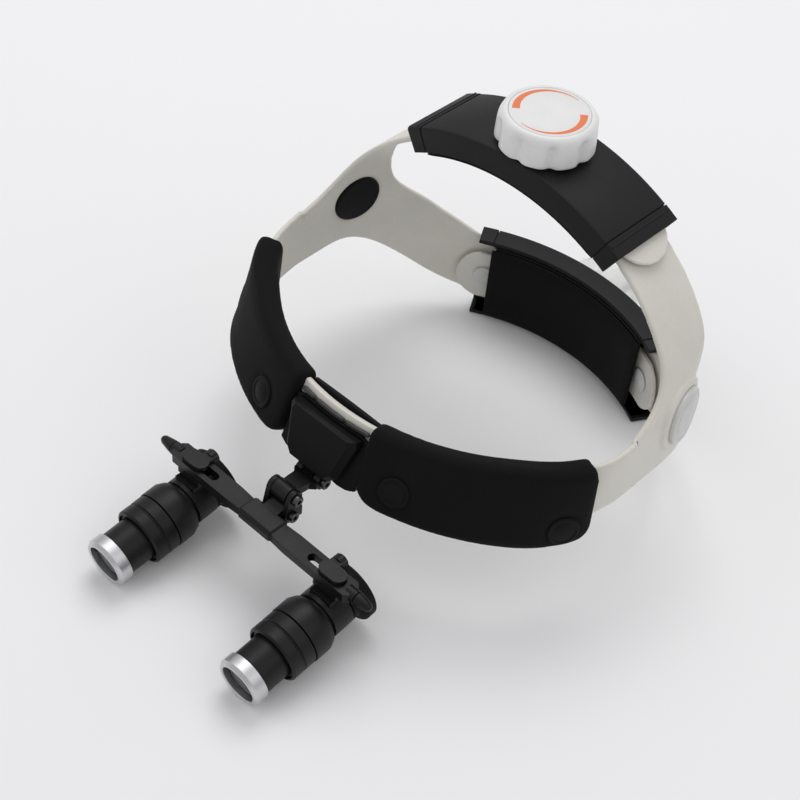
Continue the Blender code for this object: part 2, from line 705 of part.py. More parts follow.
def build_linkage(shop):
    # upper link: a waisted plate, forked at the bracket and a full barrel at the second pivot
    way = Vector((PIVOT_2[0] - PIVOT_1[0], PIVOT_2[1] - PIVOT_1[1])).normalized()
    link = shop.solid("upper_link", *x_rod(EYE_R + 0.2, PIVOT_2, -3.3, 3.3))
    plan = [(5.4, 0.0), (5.4, 3.2), (3.7, 5.0), (3.6, 8.0), (3.2, 11.5)]
    plan = plan + [(-x, d) for x, d in reversed(plan)]
    u = Vector((1, 0, 0))
    v = Vector((0, way.x, way.y))
    n = u.cross(v)
    origin = Vector((0, PIVOT_1[0], PIVOT_1[1]))
    shop.join(link, prism(plan, origin, u, v, n, -1.5, 1.5))
    shop.join(link, x_rod(EYE_R, PIVOT_1, -5.4, 5.4))
    shop.cut(link, x_rod(EYE_R + 0.5, PIVOT_1, -2.8, 2.8, 28))
    shop.cut(link, x_rod(PIN_R + 0.1, PIVOT_1, -9, 9), x_rod(PIN_R + 0.1, PIVOT_2, -9, 9))

    # lower link: two cheeks joined by a web behind the lower pivot
    cheek = capsule_outline(PIVOT_2, PIVOT_3, EYE_R)
    low = shop.solid("lower_link", *yz_prism(cheek, 3.7, 5.5))
    shop.join(low, yz_prism(cheek, -5.5, -3.7))
    y3, z3 = PIVOT_3
    web = [(y3 + 3.4, z3 - 2.6), (y3 + 4.8, z3 - 2.6), (y3 + 4.8, z3 + 1.6), (y3 + 3.4, z3 + 1.6)]
    shop.join(low, yz_prism(web, -5.5, 5.5))
    foot = [(y3 - 0.5, z3 - 2.6), (y3 + 4.4, z3 - 2.6), (y3 + 4.4, z3 + 1.6), (y3 - 0.5, z3 + 1.6)]
    shop.join(low, yz_prism(foot, 3.7, 5.5), yz_prism(foot, -5.5, -3.7))
    shop.cut(low, x_rod(PIN_R + 0.1, PIVOT_2, -9, 9), x_rod(PIN_R + 0.1, PIVOT_3, -9, 9))

    for number, at in ((1, PIVOT_1), (2, PIVOT_2), (3, PIVOT_3)):
        profile = [(0, -5.9), (PIN_R, -5.9), (PIN_R, 5.8), (2.1, 5.8), (2.1, 6.9), (1.8, 7.2), (0, 7.2)]
        screw = shop.solid(f"pivot_screw_{number}", *lathe(profile, (0, *at), (1, 0, 0), 24))
        socket = disc_outline(1.0, 6)
        shop.cut(screw, prism(socket, (0, *at), (0, 1, 0), (0, 0, 1), (1, 0, 0), 6.3, 9.0))


def build_bar(shop):
    bar = shop.solid("pupil_bar", *box(-8.2, 8.2, BAR_Y - 4.3, BAR_Y + 4.6, BAR_Z0 - 0.3, BAR_Z1 + 0.7))
    bevel = bar.modifiers.new("edges", "BEVEL")
    bevel.width = 1.2 * MM
    bevel.segments = 1
    y3, z3 = PIVOT_3
    neck = [(BAR_Y + 3.0, BAR_Z0), (y3 - 0.6, z3 - 2.8), (y3 - 0.2, z3 + 2.8), (BAR_Y + 3.0, BAR_Z1 + 0.6)]
    shop.join(bar, yz_prism(neck, -3.3, 3.3), x_rod(EYE_R, PIVOT_3, -3.3, 3.3))
    shop.cut(bar, x_rod(PIN_R + 0.1, PIVOT_3, -9, 9))
    flat = dict(u=(1, 0, 0), v=(0, 1, 0), n=(0, 0, 1))
    for side in (1, -1):
        arm = [(side * 4.0, -3.0), (side * 14.0, -BAR_HALF), (side * BAR_END, -BAR_HALF)]
        arm += [(side * (BAR_END + 1.6), -2.2), (side * (BAR_END + 1.6), 2.2)]
        arm += [(side * BAR_END, BAR_HALF), (side * 14.0, BAR_HALF), (side * 4.0, 3.0)]
        shop.join(bar, prism(arm, (0, BAR_Y, 0), **flat, low=BAR_Z0, high=BAR_Z1))
        collar_z = (BAR_Z0 + BAR_Z1) / 2
        shop.join(bar, x_rod(2.5, (BAR_Y, collar_z), side * 40.0, side * 44.0, 20))
        half = (SLOT_TO - SLOT_FROM) / 2
        middle = side * (SLOT_TO + SLOT_FROM) / 2
        shop.cut(bar, prism(stadium(half, SLOT_HALF), (middle, BAR_Y, 0), **flat, low=20, high=40))
        shop.cut(bar, x_rod(1.2, (BAR_Y, collar_z), side * 42.0, side * 48.0, 16))
    collar_z = (BAR_Z0 + BAR_Z1) / 2
    for side, name in ((1, "left"), (-1, "right")):
        grip = lathe(
            [(0, -1.6), (1.1, -1.6), (1.1, 0.2), (2.4, 0.2), (2.3, 1.4), (1.6, 5.2), (1.0, 6.2), (0, 6.5)],
            (side * 44.0, BAR_Y, collar_z), (side, 0, 0), 20,
        )
        shop.solid(f"bar_grip_{name}", *grip)
        x = side * PUPIL_X
        slider = shop.solid(f"slider_{name}", *prism(stadium(5.4, 3.0), (x, BAR_Y, 0), **flat, low=30.7, high=32.1))
        shop.join(slider, box(x - 2.8, x + 2.8, BAR_Y - 1.45, BAR_Y + 1.45, 25.0, 31.4))
        shop.join(slider, box(x - 5.2, x + 5.2, BAR_Y - 3.6, BAR_Y + 3.6, 24.0, 26.2))
        lug = x - side * 2.0
        shop.join(slider, box(lug - 2.2, lug + 2.2, BAR_Y + 1.5, BAR_Y + 6.6, 30.8, 32.0))
        shop.join(slider, rod(2.5, (lug, BAR_Y + 4.1, 30.2), (lug, BAR_Y + 6.7, 30.2), 20))
        shop.cut(slider, rod(1.65, (x, BAR_Y, 20.0), (x, BAR_Y, 25.8), 20))


# ---------------------------------------------------------------- barrels


def build_barrels(shop):
    axis = Vector((0, math.cos(PITCH), math.sin(PITCH)))
    for side, name in ((1, "left"), (-1, "right")):
        x = side * PUPIL_X
        origin = Vector((x, RING_Y, RING_Z))

        def turned(node, profile, steps=24):
            return shop.solid(f"{node}_{name}", *lathe(profile, origin, axis, steps))

        turned("objective_ring", [
            (7.1, 0.0), (8.0, 0.0), (9.0, 1.2), (9.0, 5.2), (8.35, 5.2), (8.35, 1.6), (7.1, 1.6),
        ])
        turned("objective_lens", [(0, 1.7), (4.5, 1.85), (8.1, 2.2), (8.1, 3.4), (0, 3.4)])
        turned("front_tube", [(8.15, 3.6), (8.15, 23.0), (7.0, 23.0), (7.0, 3.6)])
        turned("focus_collar", [
            (9.45, 14.8), (10.0, 14.8), (10.6, 15.6), (10.6, 19.4), (10.1, 19.8), (10.6, 20.2),
            (10.6, 24.6), (9.45, 24.6),
        ])
        turned("barrel_body", [
            (8.3, 15.6), (9.25, 15.6), (9.25, 25.0), (10.8, 25.0), (10.8, 31.0), (9.6, 33.8),
            (7.6, 34.0), (7.6, 46.0), (6.7, 46.0), (6.7, 32.0), (8.3, 30.0),
        ])
        turned("eyepiece_lens", [(0, 42.8), (6.5, 43.2), (6.5, 45.0), (0, 45.6)])
        turned("eyecup", [
            (7.8, 44.0), (8.6, 44.0), (8.6, 46.6), (11.5, 48.0), (11.5, 51.4), (10.5, 51.4),
            (7.0, 48.6), (7.0, 46.4), (7.8, 46.4),
        ])
        mount = turned("barrel_mount", [(7.0, 35.4), (8.8, 35.4), (8.8, 43.4), (7.0, 43.4)], 24)
        shop.join(mount, box(x - 4.6, x + 4.6, BAR_Y - 5.4, BAR_Y + 1.2, 20.0, 23.5))
        shop.join(mount, rod(1.55, (x, BAR_Y, 22.0), (x, BAR_Y, 25.6), 20))
        shop.cut(mount, rod(7.8, origin + axis * 30, origin + axis * 52, 24))


# ---------------------------------------------------------------- finish


FINISHES = (
    (("front_band", "side_yoke", "crown_strap", "rear_strap"), WHITE, 0.45, 0.0),
    (("crown_knob_label",), GREY, 0.4, 0.0),
    (("crown_knob", "rear_knob"), WHITE, 0.35, 0.0),
    (("yoke_cap", "crown_rivet", "rear_rivet"), GREY, 0.4, 0.0),
    (("brow_cushion", "crown_pad", "rear_pad"), FOAM, 0.95, 0.0),
    (("cushion_snap",), DARK, 0.5, 0.0),
    (("objective_ring", "pivot_screw"), SILVER, 0.3, 1.0),
    (("objective_lens", "eyepiece_lens"), GLASS, 0.05, 0.0),
    (("",), BLACK, 0.5, 0.0),
)


def finish(shop):
    for obj in shop.parts.objects:
        for prefixes, colour, rough, metal in FINISHES:
            if obj.name.startswith(prefixes):
                obj.data.materials.append(material(obj.name, colour, rough, metal))
                break
        for polygon in obj.data.polygons:
            polygon.use_smooth = True
        obj.data.set_sharp_from_angle(angle=math.radians(30))


def set_origin(obj, x, y, z):
    """Moves the object's origin to a joint's axis, leaving its shape where it is."""
    point = Vector((x * MM, (y + SHIFT_Y) * MM, (z + SHIFT_Z) * MM))
    obj.data.transform(Matrix.Translation(-point))
    obj.location = point


def place_origins(shop):
    rivet_z = CROWN_Z + 86.3 * math.cos(RIVET_A)
    rivet_y = REAR_Y + 86.3 * math.cos(RIVET_A)
    joints = {
        "crown_housing": (0, CROWN_Y, rivet_z), "crown_cover": (0, CROWN_Y, rivet_z),
        "crown_pad": (0, CROWN_Y, rivet_z), "rear_housing": (0, rivet_y, REAR_Z),
        "rear_cover": (0, rivet_y, REAR_Z), "rear_pad": (0, rivet_y, REAR_Z),
        "crown_knob": (0, CROWN_Y, CROWN_Z + SHELL_R), "rear_knob": (0, REAR_Y + SHELL_R, REAR_Z),
        "crown_knob_label": (0, CROWN_Y, CROWN_Z + SHELL_R),
        "upper_link": (0, *PIVOT_1), "lower_link": (0, *PIVOT_2), "pupil_bar": (0, *PIVOT_3),
    }
    for side, name in ((1, "left"), (-1, "right")):
        for node in ("crown_strap", "crown_rivet"):
            joints[f"{node}_{name}"] = (0, CROWN_Y, CROWN_Z)
        for node in ("rear_strap", "rear_rivet"):
            joints[f"{node}_{name}"] = (0, REAR_Y, REAR_Z)
        joints[f"slider_{name}"] = (side * PUPIL_X, BAR_Y, BAR_Z0)
        joints[f"barrel_mount_{name}"] = (side * PUPIL_X, BAR_Y, 23.2)
        joints[f"barrel_body_{name}"] = (side * PUPIL_X, BAR_Y, 23.2)
        for node in ("objective_ring", "objective_lens", "front_tube", "focus_collar"):
            joints[f"{node}_{name}"] = (side * PUPIL_X, RING_Y, RING_Z)
    for name, place in joints.items():
        set_origin(bpy.data.objects[name], *place)


def main():
    clear_scene()
    shop = Shop()
    build_front(shop)
    build_yokes(shop)
    build_bracket(shop)
    build_housings(shop)
    build_linkage(shop)
    build_bar(shop)
    build_barrels(shop)
    finish(shop)
    place_origins(shop)


main()
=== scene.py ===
"""Looks for a headband binocular magnifier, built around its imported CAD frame.

Lengths in this script are millimetres of a head frame: X to the wearer's left, Y to the back,
Z up. `place` turns them into the row frame's metres.
"""

from __future__ import annotations

import json
import logging
import math
from dataclasses import dataclass
from enum import Enum
from typing import Callable, Sequence

import bmesh
import bpy
from mathutils import Matrix, Vector

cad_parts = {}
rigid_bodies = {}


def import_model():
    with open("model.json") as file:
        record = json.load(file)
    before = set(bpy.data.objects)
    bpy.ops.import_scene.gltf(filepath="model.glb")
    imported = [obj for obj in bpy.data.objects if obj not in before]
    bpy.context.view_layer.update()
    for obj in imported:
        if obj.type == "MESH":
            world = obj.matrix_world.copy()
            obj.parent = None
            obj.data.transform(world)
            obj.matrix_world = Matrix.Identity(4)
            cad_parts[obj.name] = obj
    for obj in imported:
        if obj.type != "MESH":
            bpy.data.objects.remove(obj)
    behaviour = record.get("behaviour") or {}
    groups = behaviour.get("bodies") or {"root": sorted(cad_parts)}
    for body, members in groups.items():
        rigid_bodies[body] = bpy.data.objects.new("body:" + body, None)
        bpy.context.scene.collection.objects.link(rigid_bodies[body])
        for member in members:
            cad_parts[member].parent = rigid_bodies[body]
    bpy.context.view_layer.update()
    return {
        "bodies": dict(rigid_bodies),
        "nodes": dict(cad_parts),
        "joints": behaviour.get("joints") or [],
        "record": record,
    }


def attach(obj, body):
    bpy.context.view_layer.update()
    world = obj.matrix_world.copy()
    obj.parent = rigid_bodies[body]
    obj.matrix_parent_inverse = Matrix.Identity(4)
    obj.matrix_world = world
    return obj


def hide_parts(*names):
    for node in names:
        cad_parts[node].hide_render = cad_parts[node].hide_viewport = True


log = logging.getLogger("magnifier")

Point = Sequence[float]
Outline = list[tuple[float, float]]
Triple = tuple[float, float, float]
Face = tuple[int, ...]
Shape = tuple[list[Vector], list[Face]]

SIDES = ((1, "left"), (-1, "right"))

MM = 0.001
OFFSET = Vector((0.0, -7.5, -0.6))
BARREL_PITCH = math.radians(7.0)

BROAD_PITCH = 0.012  # metres between the slow changes of tint and gloss
SHEEN_ROUGHNESS = 0.5
COAT_ROUGHNESS = 0.06
BUMP_STRENGTH = 0.9
SCATTER_DEPTH = (0.004, 0.004, 0.0038)


def place(point: Point) -> Vector:
    """A head-frame point in millimetres as row-frame metres."""
    return (Vector(point) + OFFSET) * MM


# ---- finishes


def shader_node(tree, kind: str, **inputs):
    """Adds a shader node. An input is a value, or a socket to link; `_` stands for a space."""
    made = tree.nodes.new(f"ShaderNode{kind}")
    for key, given in inputs.items():
        socket = made.inputs[key.replace("_", " ")]
        if isinstance(given, bpy.types.NodeSocket):
            tree.links.new(given, socket)
        else:
            socket.default_value = given
    return made


class Grain(Enum):
    """How a finish breaks up its surface."""

    MOULDED = "fine pebbled plastic"
    SMOOTH = "plain moulded plastic with faint waviness"
    FOAM = "soft knitted skin over foam"
    TURNED = "metal brushed round the optical axis"
    SATIN = "bead-blasted or burnished metal"
    COATED = "dark coated glass"


@dataclass(frozen=True)
class Finish:
    """One surface finish.

    Args:
        name: material name.
        slot: the record's material slot it stands for; not used.
        colour: linear base colour.
        rough: middle roughness.
        grain: the kind of surface detail.
        depth: bump height in metres.
        pitch: size of one grain in metres.
        metal: metallic value.
        sheen: sheen weight.
        coat: clear coat weight.
        translucent: subsurface weight.
        shine: specular level.
    """

    name: str
    slot: str
    colour: Triple
    rough: float
    grain: Grain
    depth: float
    pitch: float
    metal: float = 0.0
    sheen: float = 0.0
    coat: float = 0.0
    translucent: float = 0.0
    shine: float = 0.5

    def build(self) -> bpy.types.Material:
        """Makes the node material, once for each name.

        Returns:
            The finished material.
        """
        known = bpy.data.materials.get(self.name)
        if known:
            return known
        made = bpy.data.materials.new(self.name)
        made.use_nodes = True
        tree = made.node_tree
        shader = tree.nodes["Principled BSDF"]
        levels = {"Metallic": self.metal, "Specular IOR Level": self.shine, "Sheen Weight": self.sheen,
                  "Sheen Roughness": SHEEN_ROUGHNESS, "Coat Weight": self.coat,
                  "Coat Roughness": COAT_ROUGHNESS}
        if self.translucent:
            levels |= {"Subsurface Weight": self.translucent, "Subsurface Radius": SCATTER_DEPTH}
        for key, level in levels.items():
            shader.inputs[key].default_value = level
        coords = tree.nodes.new("ShaderNodeTexCoord").outputs["Object"]
        broad = self._noise(tree, coords, 1 / BROAD_PITCH, 3.0, 0.55)
        fine = self._detail(tree, coords)
        self._tint(tree, shader, broad, fine)
        self._gloss(tree, shader, broad, fine)
        if self.grain is not Grain.COATED:
            bump = shader_node(tree, "Bump", Strength=BUMP_STRENGTH, Distance=self.depth, Height=fine)
            tree.links.new(bump.outputs["Normal"], shader.inputs["Normal"])
        return made

    @staticmethod
    def _noise(tree, vector, scale: float, detail: float, rough: float):
        return shader_node(tree, "TexNoise", Scale=scale, Detail=detail, Roughness=rough,
                           Vector=vector).outputs["Fac"]

    @staticmethod
    def _map(tree, value, low: float, high: float):
        """Spreads the middle of a noise's range over low to high."""
        return shader_node(tree, "MapRange", From_Min=0.3, From_Max=0.7, To_Min=low, To_Max=high,
                           Value=value).outputs["Result"]

    @staticmethod
    def _mixed(tree, a, b, part: float):
        return shader_node(tree, "Mix", Factor=part, A=a, B=b).outputs["Result"]

    def _detail(self, tree, coords):
        """The height that the bump reads, and that gloss and tint follow a little."""
        scale = 1 / self.pitch
        if self.grain is Grain.TURNED:
            lines = shader_node(tree, "Mapping", Rotation=(-BARREL_PITCH, 0.0, 0.0),
                                Scale=(0.02, 1.0, 0.02), Vector=coords).outputs["Vector"]
            return self._noise(tree, lines, scale, 4.0, 0.7)
        if self.grain is Grain.MOULDED:
            cells = shader_node(tree, "TexVoronoi", Scale=scale, Vector=coords)
            cells.feature = "SMOOTH_F1"
            speck = self._noise(tree, coords, scale * 0.6, 4.0, 0.6)
            return self._mixed(tree, cells.outputs["Distance"], speck, 0.5)
        if self.grain is Grain.FOAM:
            knit = shader_node(tree, "TexVoronoi", Scale=scale, Randomness=0.55, Vector=coords)
            nap = self._noise(tree, coords, scale * 0.35, 5.0, 0.7)
            return self._mixed(tree, knit.outputs["Distance"], nap, 0.6)
        return self._noise(tree, coords, scale, 4.0, 0.6)

    def _tint(self, tree, shader, broad, fine) -> None:
        swing = {Grain.FOAM: 0.35, Grain.MOULDED: 0.2, Grain.COATED: 0.3}.get(self.grain, 0.05)
        both = self._mixed(tree, broad, fine, 0.4)
        mix = tree.nodes.new("ShaderNodeMix")
        mix.data_type = "RGBA"
        mix.inputs["A"].default_value = (*(c * (1 - swing) for c in self.colour), 1.0)
        mix.inputs["B"].default_value = (*(min(c * (1 + swing), 1.0) for c in self.colour), 1.0)
        tree.links.new(self._map(tree, both, 0.0, 1.0), mix.inputs["Factor"])
        tree.links.new(mix.outputs["Result"], shader.inputs["Base Color"])

    def _gloss(self, tree, shader, broad, fine) -> None:
        both = self._mixed(tree, broad, fine, 0.5)
        swing = 0.02 if self.grain is Grain.COATED else 0.07
        value = self._map(tree, both, max(self.rough - swing, 0.02), min(self.rough + swing, 1.0))
        tree.links.new(value, shader.inputs["Roughness"])


WHITE = Finish("white_shell", "white_plastic", (0.69, 0.67, 0.605), 0.42, Grain.SMOOTH,
               0.00003, 0.0011, translucent=0.05, shine=0.4)
KNOB = Finish("knob_satin", "knob_white", (0.80, 0.80, 0.785), 0.34, Grain.SMOOTH,
              0.00002, 0.0014, coat=0.1)
LABEL = Finish("dial_face", "label_grey", (0.80, 0.80, 0.79), 0.55, Grain.SMOOTH,
               0.00001, 0.0008, shine=0.3)
ORANGE = Finish("dial_mark", "label_grey", (0.80, 0.19, 0.055), 0.42, Grain.SMOOTH,
                0.00001, 0.0008)
CAP = Finish("cap_satin", "cap_grey", (0.60, 0.60, 0.585), 0.36, Grain.SMOOTH,
             0.00002, 0.0012, translucent=0.1)
FOAM = Finish("cushion_skin", "soft_black", (0.0048, 0.0046, 0.0048), 0.90, Grain.FOAM,
              0.00012, 0.00055, sheen=0.02, shine=0.16)
SNAP = Finish("snap_satin", "snap_black", (0.0045, 0.0046, 0.005), 0.60, Grain.SMOOTH,
              0.00002, 0.0009, shine=0.14)
BLACK = Finish("arm_black", "black_plastic", (0.0058, 0.0058, 0.0064), 0.42, Grain.MOULDED,
               0.00004, 0.00045, shine=0.26)
# A darker copy of the black plastic: painted shade for the shade on the front faces of the bracket backing
# and cover.
PAINTED_SHADE_COVER = Finish("cover_black_painted_shade", "black_plastic", (0.0040, 0.0040, 0.0043), 0.52, Grain.MOULDED,
               0.00003, 0.00045, shine=0.14)
SHELL = Finish("housing_black", "black_plastic", (0.0068, 0.007, 0.008), 0.54, Grain.MOULDED,
               0.00006, 0.00050, shine=0.25)
RAIL = Finish("rail_grey", "black_plastic", (0.030, 0.030, 0.032), 0.38, Grain.SMOOTH,
              0.00002, 0.0010)
SILVER = Finish("rim_silver", "silver", (0.62, 0.62, 0.635), 0.36, Grain.TURNED,
                0.00004, 0.00018, metal=1.0)
STEEL = Finish("screw_head", "screw_steel", (0.09, 0.09, 0.094), 0.36, Grain.SATIN,
               0.00002, 0.0006, metal=1.0)
GLASS = Finish("coated_lens", "lens_glass", (0.014, 0.015, 0.018), 0.09, Grain.COATED,
               0.0, 0.004, shine=0.38)


# ---- shapes


def loft(rings: Sequence[Sequence[Point]]) -> Shape:
    """A closed solid through equal-length rings, capped at both ends."""
    count = len(rings[0])
    points = [Vector(point) for ring in rings for point in ring]
    faces: list[Face] = []
    for i in range(len(rings) - 1):
        for j in range(count):
            a, b = i * count + j, i * count + (j + 1) % count
            faces.append((a, b, b + count, a + count))
    faces.append(tuple(range(count)))
    faces.append(tuple(range((len(rings) - 1) * count, len(rings) * count)))
    return points, faces


def lathe(profile: Outline, origin: Point, axis: Point, steps: int = 96) -> Shape:
    """Turns a closed (radius, distance) profile about an axis.

    Args:
        profile: outline points; radius 0 is a pole.
        origin: where distance is 0.
        axis: direction of the axis.
        steps: sides of the turned form.
    """
    axis = Vector(axis).normalized()
    helper = Vector((0, 0, 1)) if abs(axis.z) < 0.9 else Vector((1, 0, 0))
    first = helper.cross(axis).normalized()
    second = axis.cross(first)
    points: list[Vector] = []
    rings: list[list[int]] = []
    for radius, distance in profile:
        centre = Vector(origin) + axis * distance
        count = 1 if radius < 1e-6 else steps
        rings.append(list(range(len(points), len(points) + count)))
        for k in range(count):
            turn = 2 * math.pi * k / steps
            points.append(centre + (first * math.cos(turn) + second * math.sin(turn)) * radius)
    faces: list[Face] = []
    for i, a in enumerate(rings):
        b = rings[(i + 1) % len(rings)]
        if len(a) == 1 and len(b) == 1:
            continue
        for k in range(steps):
            m = (k + 1) % steps
            quad = (a[k % len(a)], a[m % len(a)], b[m % len(b)], b[k % len(b)])
            faces.append(tuple(dict.fromkeys(quad)))
    return points, faces


def joined(*shapes: Shape) -> Shape:
    """Several closed solids in one mesh."""
    points: list[Vector] = []
    faces: list[Face] = []
    for more, sides in shapes:
        shift = len(points)
        points += [Vector(p) for p in more]
        faces += [tuple(i + shift for i in side) for side in sides]
    return points, faces


def mirrored(shape: Shape, side: int) -> Shape:
    """The shape itself for side 1, and its mirror image in x for side -1."""
    points, faces = shape
    return [Vector((side * p[0], p[1], p[2])) for p in points], faces


def blend(value: float, low: float, high: float) -> float:
    """0 up to low, 1 from high on, and a smooth step between."""
    t = min(max((value - low) / (high - low), 0.0), 1.0)
    return t * t * (3 - 2 * t)


def disc(radius: float, steps: int, centre: Point = (0.0, 0.0)) -> Outline:
    """A circle's outline."""
    turns = [2 * math.pi * k / steps for k in range(steps)]
    return [(centre[0] + radius * math.cos(t), centre[1] + radius * math.sin(t)) for t in turns]


def fan(centre: Point, radius: float, start: float, end: float, steps: int) -> Outline:
    """Points of an arc between two angles in degrees."""
    turns = [math.radians(start + (end - start) * k / steps) for k in range(steps + 1)]
    return [(centre[0] + radius * math.cos(t), centre[1] + radius * math.sin(t)) for t in turns]


def stadium(half: float, radius: float, steps: int = 16) -> Outline:
    """A slot's outline, half its length each way from the middle."""
    return fan((half - radius, 0), radius, -90, 90, steps) + fan((radius - half, 0), radius, 90, 270, steps)


def corner_cut(outline: Outline, rounds: int, keep: Sequence[int] = ()) -> list:
    """Rounds an outline by cutting its corners; points listed in keep stay sharp."""
    points = [(p, i in keep) for i, p in enumerate(outline)]
    for _ in range(rounds):
        cut = []
        for i, (a, held) in enumerate(points):
            b, held_next = points[(i + 1) % len(points)]
            near = (0.75 * a[0] + 0.25 * b[0], 0.75 * a[1] + 0.25 * b[1])
            far = (0.25 * a[0] + 0.75 * b[0], 0.25 * a[1] + 0.75 * b[1])
            cut.append((a, True) if held else (near, False))
            if not held_next:
                cut.append((far, False))
        points = cut
    return [p for p, _ in points]


def round_box(t0: float, t1: float, h0: float, h1: float, radius: float, steps: int = 5) -> list:
    """A rectangle's outline with rounded corners."""
    found = []
    corners = ((t1 - radius, h1 - radius, 0), (t0 + radius, h1 - radius, 90),
               (t0 + radius, h0 + radius, 180), (t1 - radius, h0 + radius, 270))
    for t, h, start in corners:
        found += fan((t, h), radius, start, start + 90, steps)
    return found


# ---- pieces


def soften(obj: bpy.types.Object, voxel: float, rounds: int) -> None:
    """Live modifiers that remesh into even voxels, if voxel isn't 0, and then smooth, rounds times."""
    if voxel:
        even = obj.modifiers.new("even", "REMESH")
        even.mode = "VOXEL"
        even.voxel_size = voxel * MM
    if rounds:
        relax = obj.modifiers.new("relax", "SMOOTH")
        relax.factor = 0.5
        relax.iterations = rounds


@dataclass(frozen=True)
class Edge:
    """Rounding of a piece's edges: bevel width in millimetres and its segments."""

    width: float = 0.3
    segments: int = 3
    angle: float = 32.0


class Workshop:
    """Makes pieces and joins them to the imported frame.
    """

    def __init__(self, frame: dict) -> None:
        self.frame = frame
        bodies = frame["record"]["behaviour"]["bodies"]
        self.body_of = {node: body for body, nodes in bodies.items() for node in nodes}
        self.home = bpy.data.collections.new("magnifier_looks")
        bpy.context.scene.collection.children.link(self.home)

    def mesh(self, name: str, shape: Shape, metres: bool = False) -> bpy.types.Object:
        """A mesh object at the origin, with its place in its mesh."""
        points, faces = shape
        data = bpy.data.meshes.new(name)
        data.from_pydata([tuple(p if metres else place(p)) for p in points], [], faces)
        tidy = bmesh.new()
        tidy.from_mesh(data)
        bmesh.ops.remove_doubles(tidy, verts=tidy.verts, dist=1e-7)
        bmesh.ops.recalc_face_normals(tidy, faces=tidy.faces)
        tidy.to_mesh(data)
        tidy.free()
        made = bpy.data.objects.new(name, data)
        self.home.objects.link(made)
        return made

    def finish(self, obj: bpy.types.Object, look: Finish, nodes: Sequence[str], body: str = "",
               edge: Edge | None = None, sharp: float = 35.0) -> bpy.types.Object:
        """Gives a piece its edges, material and place in the frame.

        Args:
            obj: the piece.
            look: its finish.
            nodes: CAD nodes that it stands for.
            body: CAD body it rides on; the first node's body if left out.
            edge: live bevel, if it has one.
            sharp: angle over which an edge stays crisp, in degrees.
        """
        obj.data.shade_smooth()
        obj.data.set_sharp_from_angle(angle=math.radians(sharp))
        if edge:
            bevel = obj.modifiers.new("edge", "BEVEL")
            bevel.width = edge.width * MM
            bevel.segments = edge.segments
            bevel.limit_method = "ANGLE"
            bevel.angle_limit = math.radians(edge.angle)
            bevel.harden_normals = True
            bevel.miter_outer = "MITER_ARC"
        obj.data.materials.clear()
        obj.data.materials.append(look.build())
        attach(obj, body or self.body_of[nodes[0]])
        if nodes:
            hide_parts(*nodes)
        return obj

    def piece(self, name: str, shape: Shape, look: Finish, nodes: Sequence[str], body: str = "",
              edge: Edge | None = None, sharp: float = 35.0) -> bpy.types.Object:
        """Makes the mesh and finishes it, in one call."""
        return self.finish(self.mesh(name, shape), look, nodes, body, edge, sharp)

    def refined(self, node: str, look: Finish, edge: Edge) -> bpy.types.Object:
        """A merged copy of a CAD node with rounded edges, standing for it."""
        source = self.frame["nodes"][node]
        copy = bpy.data.objects.new(f"{node}_shape", source.data.copy())
        self.home.objects.link(copy)
        tidy = bmesh.new()
        tidy.from_mesh(copy.data)
        tidy.transform(source.matrix_world)
        bmesh.ops.remove_doubles(tidy, verts=tidy.verts, dist=2e-6)
        bmesh.ops.dissolve_limit(tidy, angle_limit=math.radians(0.6), verts=tidy.verts, edges=tidy.edges)
        tidy.to_mesh(copy.data)
        tidy.free()
        return self.finish(copy, look, [node], edge=edge)

    @staticmethod
    def evaluated(obj: bpy.types.Object) -> Shape:
        """The finished points, in metres, and faces; the object itself is removed."""
        graph = bpy.context.evaluated_depsgraph_get()
        data = bpy.data.meshes.new_from_object(obj.evaluated_get(graph))
        points = [v.co.copy() for v in data.vertices]
        faces = [tuple(side.vertices) for side in data.polygons]
        bpy.data.meshes.remove(data)
        bpy.data.objects.remove(obj, do_unlink=True)
        return points, faces


# ---- the head loop


@dataclass(frozen=True)
class HeadLoop:
    """The band's middle surface: a wide front arc, a tighter temple arc, then straight."""

    front_y: float = -34.6
    front_r: float = 90.0
    sweep: float = math.radians(46.0)
    temple_r: float = 49.0
    band_z: float = 49.2
    lean: float = math.radians(20.0)
    lean_from: float = 62.0
    lean_to: float = 102.0

    @property
    def straight(self) -> float:
        """Arc length where the straight side starts."""
        return self.front_r * self.sweep + self.temple_r * (math.pi / 2 - self.sweep)

    def at(self, s: float) -> Triple:
        """(x, y, heading) at arc length s from the front."""
        side, s = (1, s) if s >= 0 else (-1, -s)
        front = self.front_r * self.sweep
        if s <= front:
            turn = s / self.front_r
            x = self.front_r * math.sin(turn)
            y = self.front_y + self.front_r * (1 - math.cos(turn))
            return side * x, y, side * turn
        turn = min(self.sweep + (s - front) / self.temple_r, math.pi / 2)
        inset = self.front_r - self.temple_r
        x = inset * math.sin(self.sweep) + self.temple_r * math.sin(turn)
        y = self.front_y + self.front_r - inset * math.cos(self.sweep) - self.temple_r * math.cos(turn)
        y += max(s - self.straight, 0)
        return side * x, y, side * turn

    def point(self, s: float, t: float, h: float) -> Vector:
        """A point t outwards and h upwards from the band's middle."""
        x, y, turn = self.at(s)
        lean = self.lean * (1 - blend(abs(s), self.lean_from, self.lean_to))
        out = Vector((math.sin(turn), -math.cos(turn), 0))
        up = Vector((0, 0, 1)) * math.cos(lean) - out * math.sin(lean)
        normal = out * math.cos(lean) + Vector((0, 0, 1)) * math.sin(lean)
        return Vector((x, y, self.band_z)) + normal * t + up * h

    def sweep_section(self, section: Callable[[float], list], run: Sequence[float]) -> Shape:
        """Carries a section, which may change with arc length, along the loop."""
        return loft([[self.point(s, t, h) for t, h in section(s)] for s in run])


LOOP = HeadLoop()


